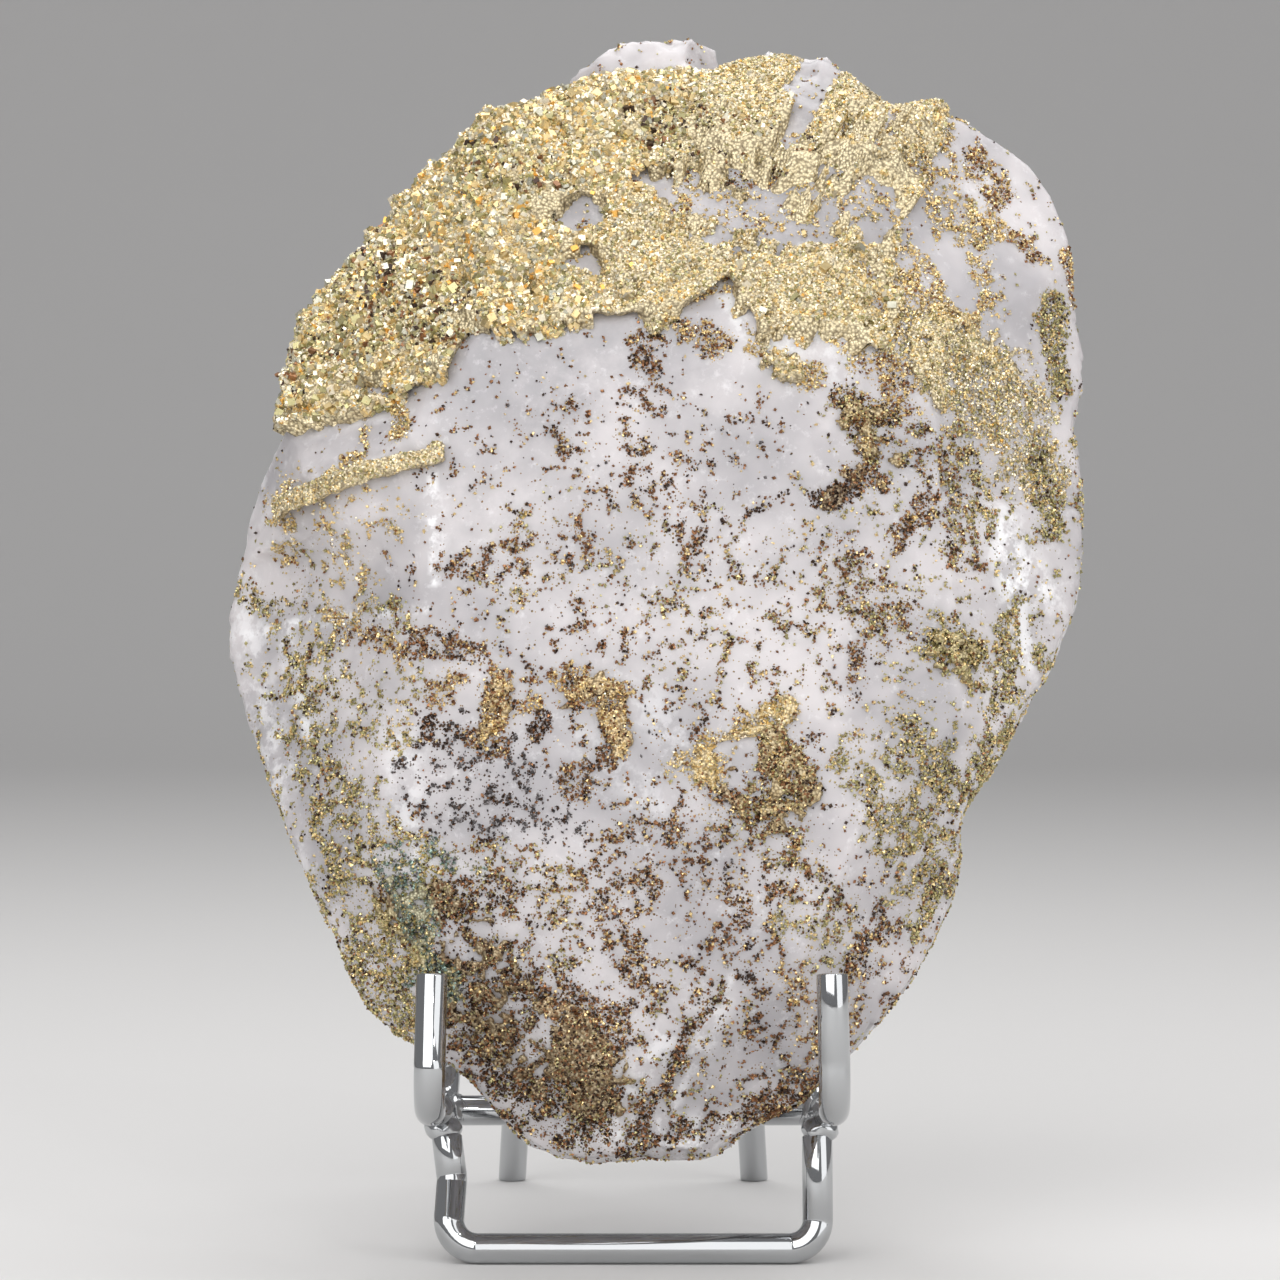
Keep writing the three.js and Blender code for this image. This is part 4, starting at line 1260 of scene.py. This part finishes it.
def build_solder(options, material, weld):
    """Rough blobs of solder where the wires meet."""
    arm = ARM_SPACING / 2
    reach = BASE_LOOP_HEIGHT / math.cos(BASE_LOOP_TILT)
    under = LEANING @ Vector((0, BASE_LOOP_SETBACK + reach * math.sin(BASE_LOOP_TILT), 0))
    radius = options.solder
    blobs = [((MIDDLE_X + sign * (arm - 0.6 * MM), under.y, under.z - 2.0 * MM), (1.0, 1.0, 0.75))
             for sign in (-1, 1)]
    for sign in (-1, 1):
        end = LEANING @ Vector((sign * (arm - WIRE_RADIUS * 1.1), CROSS_BAR_SETBACK, 0))
        blobs.append((end[:], (0.6, 1.0, 0.95)))
        top = (MIDDLE_X + sign * REAR_LEG_TOP_WIDTH * 0.35, weld.y - WIRE_RADIUS, weld.z + 0.2 * MM)
        blobs.append((top, (1.4, 0.9, 0.6)))
    shape = bmesh.new()
    for centre, stretch in blobs:
        placing = Matrix.Translation(centre) @ Matrix.Diagonal((*stretch, 1))
        bmesh.ops.create_icosphere(shape, subdivisions=4, radius=radius, matrix=placing)
    mesh = mesh_from(shape, "solder_joints")
    mesh.shade_smooth()
    places, normals = surface_of(mesh)
    bumps = rough(places / MM, 1.6, 81, 2) * 0.35 + rough(places / MM, 0.6, 84, 1) * 0.08
    set_points(mesh, places + normals * bumps[:, None] * MM)
    add_piece("solder_joints", mesh, material, "chromed_wire")


# The stage, in metres

FLOOR_HALF = 3
WALL_FOOT = 0.8
WALL_BEND = 0.5
LIT_PLACE = (0, 0, 0.07)
FLOOR_SPOT_SIZE = 0.05
FLOOR_SPOTS = (0.6, 0.6, 0.6, 1.0)


def add_light(name, place, size, power):
    """A soft light at a place, turned to the middle of the specimen."""
    lamp = bpy.data.lights.new(name, "AREA")
    lamp.shape = "RECTANGLE"
    lamp.size, lamp.size_y = size
    lamp.energy = power
    holder = add_object(name, lamp)
    holder.location = place
    holder.rotation_euler = (Vector(LIT_PLACE) - Vector(place)).to_track_quat("-Z", "Y").to_euler()


def build_stage(options):
    scene = bpy.context.scene
    camera = add_object("camera", bpy.data.cameras.new("camera"))
    camera.location = CAMERA_PLACE
    camera.rotation_euler = (math.pi / 2 - CAMERA_PITCH, 0, 0)
    camera.data.lens = CAMERA_LENS
    camera.data.clip_start = 0.01
    scene.camera = camera
    world = bpy.data.worlds.new("studio")
    world.use_nodes = True
    background = world.node_tree.nodes["Background"]
    background.inputs["Color"].default_value = (0.98, 0.98, 1.0, 1.0)
    background.inputs["Strength"].default_value = options.sky
    scene.world = world
    shape = bmesh.new()
    bmesh.ops.create_grid(shape, x_segments=1, y_segments=1, size=FLOOR_HALF)
    back = [edge for edge in shape.edges if all(corner.co.y > 0 for corner in edge.verts)]
    far_corners = [corner for corner in shape.verts if corner.co.y > 0]
    bmesh.ops.translate(shape, verts=far_corners, vec=(0, WALL_FOOT - FLOOR_HALF, 0))
    bmesh.ops.spin(shape, geom=back, cent=(0, WALL_FOOT, WALL_BEND), axis=(1, 0, 0), angle=math.radians(90),
                   steps=16)
    mesh = mesh_from(shape, "floor")
    mesh.shade_smooth()
    floor = add_object("floor", mesh)
    finish = Finish("floor", Roughness=0.6)
    spots = finish.noise(FLOOR_SPOT_SIZE, 2) * 0.06
    finish.put(Base_Color=finish.mix(spots, solid_colour(options.floor), FLOOR_SPOTS))
    mesh.materials.append(finish.material)
    add_light("key", (-0.2, -0.6, 0.5), (0.9, 0.8), options.key)
    add_light("fill", (0.5, -0.4, 0.2), (0.5, 0.7), options.fill)
    add_light("top", (0.05, 0.15, 0.6), (0.7, 0.4), options.key * 0.45)
    for index, place in enumerate([(-0.2, -0.6, 0.3), (0.15, -0.6, 0.4), (0.3, -0.4, 0.5)]):
        add_light(f"glint {index}", place, (0.02, 0.02), options.glints)
    scene.view_settings.view_transform = "Standard"


# Operators, panel and running


class SPECIMEN_OT_stage(bpy.types.Operator):
    """Set the camera, the lights and the floor"""

    bl_idname = "specimen.stage"
    bl_label = "Stage"

    def execute(self, context):
        build_stage(context.scene.specimen.stage)
        return {"FINISHED"}


class SPECIMEN_OT_calcite(bpy.types.Operator):
    """Build the milky calcite crystal"""

    bl_idname = "specimen.calcite"
    bl_label = "Calcite Crystal"

    def execute(self, context):
        build_calcite(context.scene.specimen.calcite)
        return {"FINISHED"}


class SPECIMEN_OT_crust(bpy.types.Operator):
    """Build the pyrite crust over the top of the stone"""

    bl_idname = "specimen.crust"
    bl_label = "Pyrite Crust"

    def execute(self, context):
        build_crust(context.scene.specimen.pyrite)
        return {"FINISHED"}


class SPECIMEN_OT_clusters(bpy.types.Operator):
    """Build the raised pyrite ridge, band and patches"""

    bl_idname = "specimen.clusters"
    bl_label = "Pyrite Clusters"

    def execute(self, context):
        build_clusters(context.scene.specimen.pyrite)
        return {"FINISHED"}


class SPECIMEN_OT_grains(bpy.types.Operator):
    """Strew the loose pyrite grains over the calcite"""

    bl_idname = "specimen.grains"
    bl_label = "Loose Grains"

    def execute(self, context):
        build_loose_grains(context.scene.specimen.pyrite)
        return {"FINISHED"}


class SPECIMEN_OT_stand(bpy.types.Operator):
    """Build the chromed wire stand"""

    bl_idname = "specimen.stand"
    bl_label = "Wire Stand"

    def execute(self, context):
        build_stand(context.scene.specimen.stand)
        return {"FINISHED"}


class SPECIMEN_PT_panel(bpy.types.Panel):
    """The specimen's pieces in the sidebar"""

    bl_label = "Pyrite on Calcite"
    bl_idname = "SPECIMEN_PT_panel"
    bl_space_type = "VIEW_3D"
    bl_region_type = "UI"
    bl_category = "Specimen"

    def draw(self, context):
        for operator_class in OPERATORS:
            self.layout.operator(operator_class.bl_idname)


GROUPS = (CalciteSettings, PyriteSettings, StandSettings, StageSettings, SpecimenSettings)
OPERATORS = (SPECIMEN_OT_stage, SPECIMEN_OT_calcite, SPECIMEN_OT_crust, SPECIMEN_OT_clusters,
             SPECIMEN_OT_grains, SPECIMEN_OT_stand)


def register():
    for group in (*GROUPS, *OPERATORS, SPECIMEN_PT_panel):
        bpy.utils.register_class(group)
    bpy.types.Scene.specimen = PointerProperty(type=SpecimenSettings)


def unregister():
    del bpy.types.Scene.specimen
    for group in reversed((*GROUPS, *OPERATORS, SPECIMEN_PT_panel)):
        bpy.utils.unregister_class(group)


def main():
    register()
    bpy.ops.specimen.stage()
    bpy.ops.specimen.calcite()
    bpy.ops.specimen.crust()
    bpy.ops.specimen.clusters()
    bpy.ops.specimen.grains()
    bpy.ops.specimen.stand()


if __name__ == "__main__":
    main()
